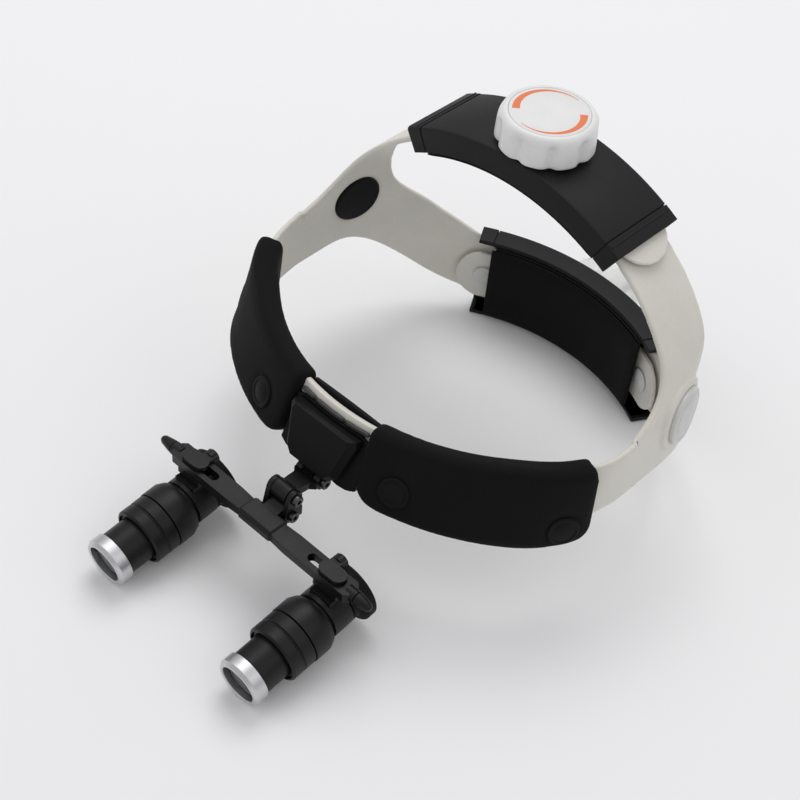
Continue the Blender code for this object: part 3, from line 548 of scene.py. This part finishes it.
def stations(start: float, end: float, steps: int) -> list[float]:
    """Evenly spaced places from start to end, both included."""
    return [start + (end - start) * k / steps for k in range(steps + 1)]


@dataclass(frozen=True)
class Arch:
    """One housing's arc frame: angle from its middle, radius, and distance across."""

    centre: Triple
    top: Triple
    across: Triple

    def point(self, angle: float, radius: float, across: float) -> Vector:
        """A point in the head frame."""
        out = Vector((1, 0, 0)) * math.sin(angle) + Vector(self.top) * math.cos(angle)
        return Vector(self.centre) + out * radius + Vector(self.across) * across

    def sweep(self, section: Outline, start: float, end: float, steps: int) -> Shape:
        """Carries a (radius, across) section round the arc."""
        return loft([[self.point(a, r, w) for r, w in section] for a in stations(start, end, steps)])

    def bend(self, shape: Shape, radius: float) -> Shape:
        """Wraps a flat shape round the arc at a radius."""
        points, faces = shape
        return [self.point(p[0] / radius, radius + p[2], p[1]) for p in points], faces


CROWN = Arch((0, 60.6, 30.5), (0, 0, 1), (0, 1, 0))
REAR = Arch((0, 18.0, 19.5), (0, 1, 0), (0, 0, 1))


# ---- yokes


@dataclass(frozen=True)
class YokeSize:
    """Flat-pattern sizes of a side yoke."""

    side_x: float = 78.5
    thick: float = 2.2
    crown_z: float = 53.0
    crown_sweep: float = math.radians(38.3)
    crown_r: float = 86.3
    rear_y: float = 43.3
    rear_sweep: float = math.radians(41.6)
    rear_r: float = 88.1
    bend_r: float = 50.0
    rivet: float = math.radians(28.0)
    boss: tuple[float, float] = (54.0, 57.0)
    boss_r: float = 13.0
    recess_r: float = 10.4
    slot: tuple[float, float] = (6.6, 2.8)
    voxel: float = 0.62

    @property
    def crown_tip(self) -> float:
        """Height of the crown rivet on the flat pattern."""
        return (self.crown_z + self.bend_r * self.crown_sweep
                + self.crown_r * (math.pi / 2 - self.rivet - self.crown_sweep))

    @property
    def rear_tip(self) -> float:
        """Distance back of the rear rivet on the flat pattern."""
        return (self.rear_y + self.bend_r * self.rear_sweep
                + self.rear_r * (math.pi / 2 - self.rivet - self.rear_sweep))


@dataclass(frozen=True)
class Yoke:
    """The pair of one-piece Y-shaped side yokes, each with its cap and plug."""

    shop: Workshop
    size: YokeSize = YokeSize()

    def _fall(self, value: float, start: float, sweep: float, final_r: float) -> tuple[float, float]:
        """(inwards, along) after a tight bend that runs on into a housing's own radius."""
        s, bend = value - start, self.size.bend_r
        if s <= 0:
            return 0.0, value
        if s <= bend * sweep:
            turn = s / bend
            return bend * (1 - math.cos(turn)), start + bend * math.sin(turn)
        turn = sweep + (s - bend * sweep) / final_r
        fall = bend * (1 - math.cos(sweep)) + final_r * (math.cos(sweep) - math.cos(turn))
        return fall, start + bend * math.sin(sweep) + final_r * (math.sin(turn) - math.sin(sweep))

    def middle(self, p: float, q: float) -> Vector:
        """Middle surface at p backwards and q upwards on the flat pattern."""
        size = self.size
        straight_y = LOOP.at(LOOP.straight)[1]
        if p < straight_y:
            return LOOP.point(LOOP.straight + p - straight_y, 0.0, q - LOOP.band_z)
        fall, y = self._fall(p, size.rear_y, size.rear_sweep, size.rear_r)
        keep = 1 - blend(q, 60.0, 84.0)
        x = size.side_x - fall * keep
        y = y * keep + p * (1 - keep)
        fall, z = self._fall(q, size.crown_z, size.crown_sweep, size.crown_r)
        return Vector((x - fall, y, z))

    def point(self, p: float, q: float, height: float) -> Vector:
        """A point at a height outwards from the middle surface."""
        along = self.middle(p + 0.05, q) - self.middle(p - 0.05, q)
        up = self.middle(p, q + 0.05) - self.middle(p, q - 0.05)
        return self.middle(p, q) + along.cross(up).normalized() * height

    def outline(self) -> Outline:
        """A stem that goes into the cushion, then a branch over the crown and one to the back."""
        size = self.size
        outline = [(-10.0, 38.0), (14.0, 38.0), (30.0, 38.8), (44.0, 39.2), (54.0, 37.6), (64.0, 32.4),
                   (76.6, 23.0), (90.0, 13.6)]
        outline += fan((size.rear_tip, REAR.centre[2]), 12.6, -120, 52, 12)
        outline += [(94.0, 44.0), (84.0, 51.4), (75.5, 56.6), (69.8, 62.0), (67.4, 69.0), (67.8, 78.0),
                    (70.8, 92.0)]
        outline += fan((CROWN.centre[1], size.crown_tip), 12.0, 0, 180, 12)
        outline += [(47.8, 104.0), (46.2, 88.0), (44.6, 78.5), (40.0, 70.6), (33.0, 65.2), (24.0, 61.8),
                    (14.0, 60.8), (-10.0, 60.6)]
        return corner_cut(outline, 3, keep=(0, len(outline) - 1))

    def _flat(self) -> Shape:
        """The flat plate with its boss and holes, rounded by a remesh, ready to bend."""
        size = self.size

        def slab(outline, low: float, high: float) -> Shape:
            return loft([[(p, q, h) for p, q in outline] for h in (low, high)])

        half = size.thick / 2
        plate = self.shop.mesh("flat_plate", slab(self.outline(), -half, half))
        cutters = [
            slab([(CROWN.centre[1] + b, size.crown_tip + a) for a, b in stadium(*size.slot)], -9, 9),
            slab([(size.rear_tip + a, REAR.centre[2] + b) for a, b in stadium(*size.slot)], -9, 9),
            slab(disc(size.recess_r, 72, size.boss), 1.7, 9),
            slab(disc(size.recess_r, 72, size.boss), -9, -0.5),
        ]
        boss = slab(disc(size.boss_r, 96, size.boss), 0.2, half + 1.3)
        tools = []
        for kind, shapes in (("UNION", [boss]), ("DIFFERENCE", cutters)):
            for shape in shapes:
                tool = self.shop.mesh("flat_tool", shape)
                tool.hide_render = True
                tools.append(tool)
                step = plate.modifiers.new("shape", "BOOLEAN")
                step.operation = kind
                step.solver = "EXACT"
                step.object = tool
        soften(plate, size.voxel, 3)
        points, faces = self.shop.evaluated(plate)
        for tool in tools:
            bpy.data.objects.remove(tool, do_unlink=True)
        return [p / MM - OFFSET for p in points], faces

    def dress(self) -> None:
        """Adds both yokes, caps and plugs."""
        points, faces = self._flat()
        bent = [self.point(p[0], p[1], p[2]) for p in points]
        cap = lathe([(0, 2.0), (10.0, 2.0), (10.0, 3.0), (9.75, 3.45), (9.2, 3.7), (8.2, 3.72), (7.9, 3.55),
                     (7.6, 3.55), (7.3, 3.75), (0, 3.9)], (0, 0, 0), (0, 0, 1))
        plug = lathe([(0, 1.7), (3.8, 1.7), (3.8, -0.8), (10.0, -0.8), (10.0, -1.3), (9.6, -1.75),
                      (8.8, -2.0), (0, -2.2)], (0, 0, 0), (0, 0, 1))
        p0, q0 = self.size.boss
        for side, name in SIDES:
            self.shop.piece(f"yoke_shell_{name}", mirrored((bent, faces), side), WHITE,
                            [f"side_yoke_{name}"], sharp=60.0)
            for (around, sides), node, look in ((cap, "yoke_cap", CAP), (plug, "yoke_plug", SNAP)):
                here = [self.point(p0 + p[0], q0 + p[1], p[2]) for p in around]
                self.shop.piece(f"{node}_disc_{name}", mirrored((here, sides), side), look,
                                [f"{node}_{name}"])


# ---- brow cushions


@dataclass(frozen=True)
class CushionSize:
    """Sizes of a brow cushion along and across the band, and the limits of its swelling."""

    start: float = 16.6
    end: float = 92.0
    outer: float = 5.6
    inner: float = 4.6
    top: float = 13.4
    low_inner: float = 15.0
    low_outer: float = 17.5
    snap_r: float = 5.5
    snaps: tuple = ((29.5, -5.0), (82.0, -9.6))
    dimple: float = 0.55
    voxel: float = 1.3
    pressure: float = 4.0
    frames: int = 20
    most_swell: float = 0.8


@dataclass(frozen=True)
class BrowCushions:
    """Two soft pads on the band, each held by two snaps."""

    shop: Workshop
    size: CushionSize = CushionSize()

    @staticmethod
    def _corner(distance: float, radius: float) -> float:
        """How far a rounded corner has fallen, at a distance from the end."""
        if distance >= radius:
            return 0.0
        return radius - math.sqrt(max(radius**2 - (radius - max(distance, 0)) ** 2, 0))

    def _section(self, s: float) -> Outline:
        """Crowned section: fullest in the middle of the pad and pulled in at its ends."""
        size = self.size
        a, b = s - size.start, size.end - s
        part = a / (size.end - size.start)
        low = size.low_inner + (size.low_outer - size.low_inner) * part
        low -= 0.85 * self._corner(a, 8.0) + 0.9 * self._corner(b, 6.0)
        top = size.top - 0.5 * self._corner(a, 1.5) - 0.3 * self._corner(b, 1.2)
        slim = 0.8 * (self._corner(a, 2.2) + self._corner(b, 2.2)) / 2.2
        flat = round_box(-size.inner + slim, size.outer - slim, -low, top, 3.0 - slim, 6)
        middle = (top - low) / 2
        half = (top + low) / 2
        crowned = []
        for t, h in flat:
            full = 1 - min(abs(h - middle) / half, 1.0) ** 2.2
            crowned.append((t + (0.35 if t > 0 else -0.25) * full - (0.25 if t > 0 else -0.2), h))
        return crowned

    def _swollen(self, obj: bpy.types.Object) -> bpy.types.Object:
        """Presses the skin out a little by cloth simulation, with each point's travel capped."""
        rest = [v.co.copy() for v in obj.data.vertices]
        cloth = obj.modifiers.new("cloth", "CLOTH")
        skin = cloth.settings
        skin.quality, skin.mass = 5, 0.3
        skin.tension_stiffness = skin.compression_stiffness = 40
        skin.shear_stiffness = 20
        skin.use_pressure, skin.uniform_pressure_force = True, self.size.pressure
        skin.effector_weights.gravity = 0.0
        scene = bpy.context.scene
        for number in range(1, self.size.frames + 1):
            scene.frame_set(number)
        graph = bpy.context.evaluated_depsgraph_get()
        data = obj.evaluated_get(graph).to_mesh()
        moved = [v.co.copy() for v in data.vertices]
        obj.evaluated_get(graph).to_mesh_clear()
        obj.modifiers.remove(cloth)
        scene.frame_set(1)
        limit = self.size.most_swell * MM
        for vertex, before, after in zip(obj.data.vertices, rest, moved):
            step = after - before
            if step.length > limit:
                step *= limit / step.length
            vertex.co = before + step
        return obj

    def _dimpled(self, obj: bpy.types.Object, side: int) -> None:
        """Pulls the skin in round each snap."""
        size = self.size
        for s, h in size.snaps:
            base = place(mirrored(([LOOP.point(s, size.outer, h)], []), side)[0][0])
            out = LOOP.point(s, 1, h) - LOOP.point(s, 0, h)
            out = Vector((side * out.x, out.y, out.z)).normalized()
            for vertex in obj.data.vertices:
                away = vertex.co - base
                height = away.dot(out)
                across = (away - out * height).length / MM
                if height < -3 * MM or across > size.snap_r + 4.0:
                    continue
                reach = 1 - blend(across, size.snap_r - 0.2, size.snap_r + 3.6)
                target = -size.dimple * MM
                if height > target:
                    vertex.co += out * (target - height) * reach

    def dress(self) -> None:
        """Adds both cushions and the four snaps."""
        size = self.size
        edge = [0, 0.5, 1.2, 2.2, 3.4, 5.0]
        run = [size.start + d for d in edge] + stations(size.start + 7, size.end - 7, 28)
        run += [size.end - d for d in reversed(edge)]
        shape = LOOP.sweep_section(self._section, run)
        for side, name in SIDES:
            rough = self.shop.mesh("pad_cage", mirrored(shape, side))
            soften(rough, size.voxel, 0)
            pad = self.shop.mesh(f"brow_pad_{name}", self.shop.evaluated(rough), metres=True)
            pad = self._swollen(pad)
            self._dimpled(pad, side)
            soften(pad, 0.0, 2)
            fine = pad.modifiers.new("fine", "SUBSURF")
            fine.levels = fine.render_levels = 1
            self.shop.finish(pad, FOAM, [f"brow_cushion_{name}"], sharp=180.0)
            for where, (s, h) in zip(("inner", "outer"), size.snaps):
                base = LOOP.point(s, size.outer, h)
                out = LOOP.point(s, 1, h) - LOOP.point(s, 0, h)
                r = size.snap_r
                snap = lathe([(0, -0.6), (r, -0.6), (r, -0.1), (r - 0.3, 0.3), (r - 0.9, 0.45),
                              (r - 1.3, 0.2), (r - 1.7, 0.2), (r - 2.2, 0.5), (0, 0.75)], base, out)
                self.shop.piece(f"snap_{where}_{name}", mirrored(snap, side), SNAP,
                                [f"cushion_snap_{where}_{name}"])


# ---- bracket and arm


@dataclass(frozen=True)
class Bracket:
    """White band, its clip at the brow, and the black cover that carries the arm."""

    shop: Workshop

    def dress(self) -> None:
        """Adds the band, the clip, the cover and the rail in front of the band's upper edge."""
        section = round_box(-1.2, 1.2, -11.3, 11.3, 0.6, 4)
        band = LOOP.sweep_section(lambda s: section, stations(-72.0, 72.0, 120))
        self.shop.piece("band_strip", band, WHITE, ["front_band"])
        # Backing and cover use the darker copy of the black plastic, which is painted shade.
        self.shop.refined("bracket_backing", PAINTED_SHADE_COVER, Edge(0.35, 3))
        self.shop.refined("bracket_cover", PAINTED_SHADE_COVER, Edge(0.6, 4, 20.0))
        half, end_r = 15.6, 1.6

        def rail(s: float) -> Outline:
            end = min(half - abs(s), end_r)
            low = end_r - math.sqrt(max(end_r**2 - (end_r - end) ** 2, 0.0))
            notch = 0.75 * sum(math.exp(-((s - at) / 0.7) ** 2) for at in (-8.6, 5.2))
            top = 9.35 - 0.3 * low - 0.5 * notch
            return round_box(1.32, 2.75 - notch, 7.75 + 0.3 * low, top, 0.5, 4)

        strip = LOOP.sweep_section(rail, stations(-half, half, 160))
        self.shop.piece("clip_rail", strip, RAIL, [], body="head_frame", sharp=50.0)


@dataclass(frozen=True)
class Arm:
    """The three-pivot arm, the cross bar and what slides on it."""

    shop: Workshop

    def dress(self) -> None:
        """Rounds the edges of the arm, the bar and what slides on it."""
        for node in ("upper_link", "lower_link"):
            self.shop.refined(node, BLACK, Edge(0.35, 3))
        self.shop.refined("pupil_bar", BLACK, Edge(0.45, 3))
        for number in (1, 2, 3):
            self.shop.refined(f"pivot_screw_{number}", STEEL, Edge(0.12, 2))
        for _, name in SIDES:
            self.shop.refined(f"slider_{name}", BLACK, Edge(0.35, 3))
            self.shop.refined(f"bar_grip_{name}", BLACK, Edge(0.3, 3))
            self.shop.refined(f"barrel_mount_{name}", BLACK, Edge(0.3, 3))


# ---- barrels


@dataclass(frozen=True)
class BarrelSize:
    """Where a barrel starts and how it is pitched."""

    pupil_x: float = 33.0
    front: tuple[float, float] = (-105.5, 9.5)
    pitch: float = BARREL_PITCH


class Barrel:
    """One telescope: bright rim, coated lens, sliding tube, focus collar, body and eyecup."""

    def __init__(self, shop: Workshop, side: int, name: str, size: BarrelSize = BarrelSize()) -> None:
        self.shop = shop
        self.name = name
        self.origin = Vector((side * size.pupil_x, *size.front))
        self.axis = Vector((0, math.cos(size.pitch), math.sin(size.pitch)))

    def _turn(self, piece: str, node: str, look: Finish, profile: Outline,
              edge: Edge | None = None) -> None:
        shape = lathe(profile, self.origin, self.axis, 112)
        self.shop.piece(f"{piece}_{self.name}", shape, look, [f"{node}_{self.name}"], edge=edge)

    def dress(self) -> None:
        """Adds the barrel's turned pieces."""
        crisp = Edge(0.16, 3)
        self._turn("rim", "objective_ring", SILVER, [
            (6.9, 0.25), (7.2, 0.0), (8.0, 0.0), (9.0, 1.25), (9.0, 5.2), (8.35, 5.2), (8.35, 1.6),
            (7.0, 1.6)], crisp)
        dome = [(8.1 * k / 12, 2.25 - 0.65 * (1 - (k / 12) ** 2)) for k in range(13)]
        self._turn("front_lens", "objective_lens", GLASS, dome + [(8.1, 3.4), (0, 3.4)])
        self._turn("tube", "front_tube", BLACK, [(8.15, 3.6), (8.15, 23.0), (7.0, 23.0), (7.0, 3.6)], crisp)
        self._turn("collar", "focus_collar", BLACK, [
            (9.45, 14.8), (10.0, 14.8), (10.6, 15.5), (10.6, 19.3), (10.1, 19.6), (10.1, 20.0), (10.6, 20.3),
            (10.6, 24.6), (9.45, 24.6)], crisp)
        self._turn("body", "barrel_body", BLACK, [
            (8.3, 15.6), (9.25, 15.6), (9.25, 25.0), (10.8, 25.0), (10.8, 31.0), (9.6, 33.8), (7.6, 34.0),
            (7.6, 46.0), (6.7, 46.0), (6.7, 32.0), (8.3, 30.0)], crisp)
        back = [(6.5 * k / 10, 45.6 - 0.6 * (k / 10) ** 2) for k in range(10, -1, -1)]
        self._turn("rear_lens", "eyepiece_lens", GLASS, [(0, 42.8), (6.5, 43.2)] + back)
        self._turn("cup", "eyecup", SNAP, [
            (7.8, 44.0), (8.6, 44.0), (8.6, 46.6), (11.5, 48.0), (11.5, 51.4), (10.5, 51.4), (7.0, 48.6),
            (7.0, 46.4), (7.8, 46.4)], Edge(0.35, 3))


# ---- housings


@dataclass(frozen=True)
class HousingSize:
    """Sizes shared by the crown and the rear housing."""

    outer: float = 92.0
    under: float = 90.6
    lip: float = 82.6
    half: float = math.radians(30.5)
    pad_half: float = math.radians(26.5)
    liner_half: float = math.radians(25.5)
    end_piece: float = math.radians(3.9)
    seam: float = math.radians(0.22)
    pad_r: tuple[float, float] = (80.0, 81.7)
    wall: float = 1.7
    knob_r: float = 17.2
    knob_h: float = 11.5
    scoops: int = 9
    scoop_start: float = math.radians(-5.0)
    scoop_deg: float = 6.5
    label_r: float = 13.68
    mark_r: float = 12.5
    mark_w: float = 2.5
    mark_sweep: float = 140.0
    rivet: float = math.radians(28.0)
    strap_t: float = 1.4


@dataclass(frozen=True)
class Housing:
    """A curved box with its pad, dial, straps and rivets.

    Args:
        shop: makes the pieces.
        name: crown or rear.
        arch: its arc.
        half_w: half its width.
        strap_r: middle radius of its straps.
        pad_inside: whether the pad sits between the side walls; else it covers their edges.
        size: sizes that both housings share.
    """

    shop: Workshop
    name: str
    arch: Arch
    half_w: float
    strap_r: float
    pad_inside: bool
    size: HousingSize = HousingSize()

    def _shell(self) -> None:
        """Adds the box in one middle and two end pieces, round a core that closes the seams."""
        size, w = self.size, self.half_w

        def channel(top: float, grow: float) -> Outline:
            out = w + grow
            return [(size.lip, -out), (top - 1.2, -out), (top - 0.35, -out + 0.35), (top, -out + 1.2),
                    (top, out - 1.2), (top - 0.35, out - 0.35), (top - 1.2, out), (size.lip, out),
                    (size.lip, w - size.wall), (size.under, w - size.wall),
                    (size.under, -w + size.wall), (size.lip, -w + size.wall)]

        inner = size.half - size.end_piece
        body = self.arch.sweep(channel(size.outer - 0.05, 0.0), -inner + size.seam, inner - size.seam, 72)
        core = self.arch.sweep(channel(size.outer - 0.6, -0.5), -size.half + 0.02, size.half - 0.02, 72)
        self.shop.piece(f"{self.name}_shell", body, SHELL, [f"{self.name}_housing"], edge=Edge(0.3, 3))
        self.shop.piece(f"{self.name}_core", core, SHELL, [], body=f"{self.name}_unit")
        for side, word in SIDES:
            ends = (side * inner, side * size.half)
            end = self.arch.sweep(channel(size.outer + 0.15, 0.0), min(ends), max(ends), 8)
            low, high, out = size.outer - 0.2, size.outer + 0.45, w - 0.9
            lip = self.arch.sweep([(low, -out), (high, -out), (high, out), (low, out)],
                                  *sorted((side * (size.half - 0.052), side * (size.half - 0.044))), 2)
            self.shop.piece(f"{self.name}_end_{word}", joined(end, lip), SHELL, [],
                            body=f"{self.name}_unit", edge=Edge(0.28, 3))

    def _inside(self) -> None:
        """Adds the liner under the straps and the pad that faces the head."""
        size = self.size
        wide = self.half_w - size.wall - 0.4
        low, high = (82.0, 83.2) if self.pad_inside else (82.6, 83.4)
        section = [(low, -wide), (high, -wide), (high, wide), (low, wide)]
        liner = self.arch.sweep(section, -size.liner_half, size.liner_half, 60)
        self.shop.piece(f"{self.name}_liner", liner, SHELL, [f"{self.name}_cover"], edge=Edge(0.2, 2))
        w = wide - 0.6 if self.pad_inside else self.half_w - 0.4
        lift = 0.0 if self.pad_inside else 0.6
        face, back = size.pad_r
        crown = 0.9
        soft = [(back, -w), (back, w), (face + crown, w)]
        soft += [(face + crown * abs(k / 12) ** 6, w * -k / 12) for k in range(-11, 12)]
        soft += [(face + crown, -w)]

        def thinned(angle: float, radius: float) -> float:
            near_end = blend(abs(angle), size.pad_half - 0.03, size.pad_half)
            return radius + lift + 0.6 * near_end * (back - radius) / (back - face)

        pad = loft([[self.arch.point(a, thinned(a, r), x) for r, x in soft]
                    for a in stations(-size.pad_half, size.pad_half, 60)])
        made = self.shop.piece(f"{self.name}_cushion", pad, FOAM, [f"{self.name}_pad"],
                               edge=Edge(0.35, 3), sharp=60.0)

    def _dial(self, label: bool) -> None:
        """Adds the scooped dial and, on the crown, its face and marks."""
        size, arch = self.size, self.arch
        top = Vector(arch.top)
        u, v = Vector((1, 0, 0)), top.cross(Vector((1, 0, 0)))
        base = arch.point(0, size.outer + 0.4, 0)
        count = size.scoops * 32

        def ring(radius: float, height: float, depth: float) -> list[Vector]:
            found = []
            for k in range(count):
                turn = 2 * math.pi * k / count
                off = math.remainder(turn - size.scoop_start, 2 * math.pi / size.scoops)
                r = radius - depth * math.exp(-(math.degrees(off) / size.scoop_deg) ** 2)
                found.append(base + (u * math.cos(turn) + v * math.sin(turn)) * r + top * height)
            return found

        r, h = size.knob_r, size.knob_h
        wall = [(1.0, 0.0, 0.9), (0.35, 0.15, 1.2), (0.1, 0.6, 1.3), (0.0, 1.4, 1.35), (0.1, 4.0, 1.35)]
        rim = [(0.25, 4.0, 1.25), (0.35, 3.2, 1.0), (0.5, 2.5, 0.5), (0.75, 1.8, 0.15), (1.15, 1.1, 0.03),
               (1.6, 0.55, 0.0), (2.1, 0.2, 0.0), (2.6, 0.03, 0.0), (2.9, 0.0, 0.0), (3.2, 0.03, 0.0),
               (3.4, 0.2, 0.0), (3.4, 0.7, 0.0)]
        rings = [ring(r - inset, height, depth) for inset, height, depth in wall]
        rings += [ring(r - inset, h - down, depth) for inset, down, depth in rim]
        shaft = lathe([(0, 0), (3.0, 0), (3.0, 7.0), (0, 7.0)], arch.point(0, self.strap_r - 1.1, 0), top, 48)
        self.shop.piece(f"{self.name}_dial", joined(loft(rings), shaft), KNOB,
                        [f"{self.name}_knob"], sharp=50.0)
        if not label:
            return
        face = base + top * h
        edge_r = size.label_r
        plate = lathe([(0, -0.45), (edge_r, -0.45), (edge_r, -0.16), (edge_r - 0.1, -0.1), (0, -0.1)],
                      face, top)
        self.shop.piece(f"{self.name}_dial_face", plate, LABEL, [f"{self.name}_knob_label"])
        marks = joined(*(self._mark(face, u, v, start) for start in (220.0, 40.0)))
        self.shop.piece(f"{self.name}_dial_marks", marks, ORANGE, [], body=f"{self.name}_dial")

    def _mark(self, face: Vector, u: Vector, v: Vector, start: float) -> Shape:
        """One arc on the dial's face, from a thick end that tapers clockwise."""
        size, top = self.size, Vector(self.arch.top)
        rings = []
        for part in stations(0.0, 1.0, 48):
            turn = math.radians(start - size.mark_sweep * part)
            inner = size.mark_r - size.mark_w * (1 - part) ** 1.15 - 0.16
            corners = ((inner, -0.14), (size.mark_r, -0.14), (size.mark_r, -0.05), (inner, -0.05))
            rings.append([face + (u * math.cos(turn) + v * math.sin(turn)) * a + top * b
                          for a, b in corners])
        return loft(rings)

    def _straps(self, rivet_profile: Outline) -> None:
        """Adds both straps, bent from a flat pattern, and their rivets."""
        size, r = self.size, self.strap_r
        tip, full, tail = size.rivet * r, math.radians(15.5) * r, math.radians(-7.5) * r
        outline = [(full + 2.5, 5.4), (tail, 5.4), (tail, 10.4), (full, 10.4), (full, 11.0)]
        outline += fan((tip, 0), 11.4, 75, -75, 40) + [(full, -11.0), (full, -3.0), (full + 1.6, 1.0)]
        points, faces = self._strip(outline)
        for side, word in SIDES:
            turned = [Vector((side * p[0], side * p[1], p[2])) for p in points]
            self.shop.piece(f"{self.name}_strap_band_{word}", self.arch.bend((turned, faces), r), WHITE,
                            [f"{self.name}_strap_{word}"], sharp=50.0)
            angle = side * size.rivet
            out = self.arch.point(angle, 1, 0) - self.arch.point(angle, 0, 0)
            rivet = lathe(rivet_profile, self.arch.centre, out, 72)
            self.shop.piece(f"{self.name}_rivet_button_{word}", rivet, CAP,
                            [f"{self.name}_rivet_{word}"], edge=Edge(0.2, 3))

    def _strip(self, outline: Outline) -> Shape:
        """A flat strap with softly rounded edges, even enough to bend."""
        half = self.size.strap_t / 2
        flat = self.shop.mesh("flat_strip", loft([[(a, b, h) for a, b in outline] for h in (-half, half)]))
        soften(flat, 0.42, 2)
        points, faces = self.shop.evaluated(flat)
        return [p / MM - OFFSET for p in points], faces

    def dress(self, rivet_profile: Outline, label: bool) -> None:
        """Adds every piece of this housing."""
        self._shell()
        self._inside()
        self._dial(label)
        self._straps(rivet_profile)


# ---- studio


@dataclass(frozen=True)
class Lamp:
    """An area light: where it is, its size in metres and its power."""

    name: str
    at: Triple
    size: float
    power: float


@dataclass(frozen=True)
class Studio:
    """Pale seamless floor, soft lights and the camera."""

    lens: float = 72.0
    eye: Triple = (0.2483, -0.3111, 0.4329)
    target: Triple = (0.0, -0.0075, 0.0407)
    roll: float = math.radians(6.29)
    lamps: tuple[Lamp, ...] = (
        Lamp("key_light", (-0.45, 0.6, 1.45), 1.1, 7.8),
        Lamp("fill_light", (-0.9, -0.5, 1.0), 1.2, 1.2),
        Lamp("side_light", (1.0, 0.3, 0.9), 0.9, 1.0),
    )
    lamp_target: Triple = (0.0, 0.0, 0.04)
    sky: tuple[float, float] = (0.42, 0.78)
    floor_half: float = 40.0
    floor_z: float = -0.0003

    def build(self) -> None:
        """Makes the stage."""
        world = bpy.data.worlds.new("studio")
        bpy.context.scene.world = world
        world.use_nodes = True
        self._sky(world.node_tree)
        self._floor()
        for lamp in self.lamps:
            data = bpy.data.lights.new(lamp.name, "AREA")
            data.shape = "DISK"
            data.size = lamp.size
            data.energy = lamp.power
            light = bpy.data.objects.new(lamp.name, data)
            light.location = lamp.at
            aim = Vector(self.lamp_target) - Vector(lamp.at)
            light.rotation_euler = aim.to_track_quat("-Z", "Y").to_euler()
            bpy.context.scene.collection.objects.link(light)
        self._camera()
        bpy.context.scene.view_settings.view_transform = "Standard"

    def _sky(self, tree) -> None:
        """A soft room, brightest overhead and dim at the height of the table."""
        aim = tree.nodes.new("ShaderNodeTexCoord").outputs["Generated"]
        height = shader_node(tree, "SeparateXYZ", Vector=aim).outputs["Z"]
        low, high = self.sky
        rise = shader_node(tree, "MapRange", To_Min=low, To_Max=high, Value=height)
        tree.nodes["Background"].inputs["Color"].default_value = (0.97, 0.97, 0.985, 1.0)
        tree.links.new(rise.outputs["Result"], tree.nodes["Background"].inputs["Strength"])

    def _floor(self) -> None:
        data = bpy.data.meshes.new("floor")
        far, z = self.floor_half, self.floor_z
        data.from_pydata([(-far, -far, z), (far, -far, z), (far, far, z), (-far, far, z)], [], [(0, 1, 2, 3)])
        floor = bpy.data.objects.new("floor", data)
        bpy.context.scene.collection.objects.link(floor)
        paper = bpy.data.materials.new("paper")
        paper.use_nodes = True
        shader = paper.node_tree.nodes["Principled BSDF"]
        shader.inputs["Base Color"].default_value = (0.90, 0.90, 0.905, 1.0)
        shader.inputs["Roughness"].default_value = 0.75
        shader.inputs["Specular IOR Level"].default_value = 0.25
        data.materials.append(paper)

    def _camera(self) -> None:
        data = bpy.data.cameras.new("camera")
        data.lens = self.lens
        data.sensor_width = 36.0
        data.clip_start = 0.01
        camera = bpy.data.objects.new("camera", data)
        back = (Vector(self.eye) - Vector(self.target)).normalized()
        right = Vector((0, 0, 1)).cross(back).normalized()
        up = back.cross(right)
        across = right * math.cos(self.roll) + up * math.sin(self.roll)
        upright = up * math.cos(self.roll) - right * math.sin(self.roll)
        turn = Matrix((across, upright, back)).transposed().to_4x4()
        camera.matrix_world = Matrix.Translation(self.eye) @ turn
        bpy.context.scene.collection.objects.link(camera)
        bpy.context.scene.camera = camera


class Magnifier:
    """The whole object: every sub-assembly dressed round the frame."""

    def __init__(self, frame: dict) -> None:
        self.shop = Workshop(frame)

    def dress(self) -> None:
        """Builds all the looks."""
        Yoke(self.shop).dress()
        BrowCushions(self.shop).dress()
        Bracket(self.shop).dress()
        Arm(self.shop).dress()
        for side, name in SIDES:
            Barrel(self.shop, side, name).dress()
        crown_rivet = [(0, 90.1), (2.3, 90.1), (2.3, 84.7), (4.4, 84.7), (4.4, 84.2), (3.8, 83.9), (0, 83.9)]
        rear_rivet = [(0, 90.4), (4.2, 90.4), (4.2, 89.8), (2.3, 89.8), (2.3, 84.0), (4.6, 84.0), (4.6, 83.7),
                      (3.9, 83.4), (0, 83.4)]
        Housing(self.shop, "crown", CROWN, 16.2, 89.5, False).dress(crown_rivet, True)
        Housing(self.shop, "rear", REAR, 18.9, 85.0, True).dress(rear_rivet, False)


def main() -> None:
    """Loads the frame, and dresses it."""
    logging.basicConfig(level=logging.INFO)
    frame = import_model()
    Studio().build()
    Magnifier(frame).dress()
    bpy.context.view_layer.update()


if __name__ == "__main__":
    main()
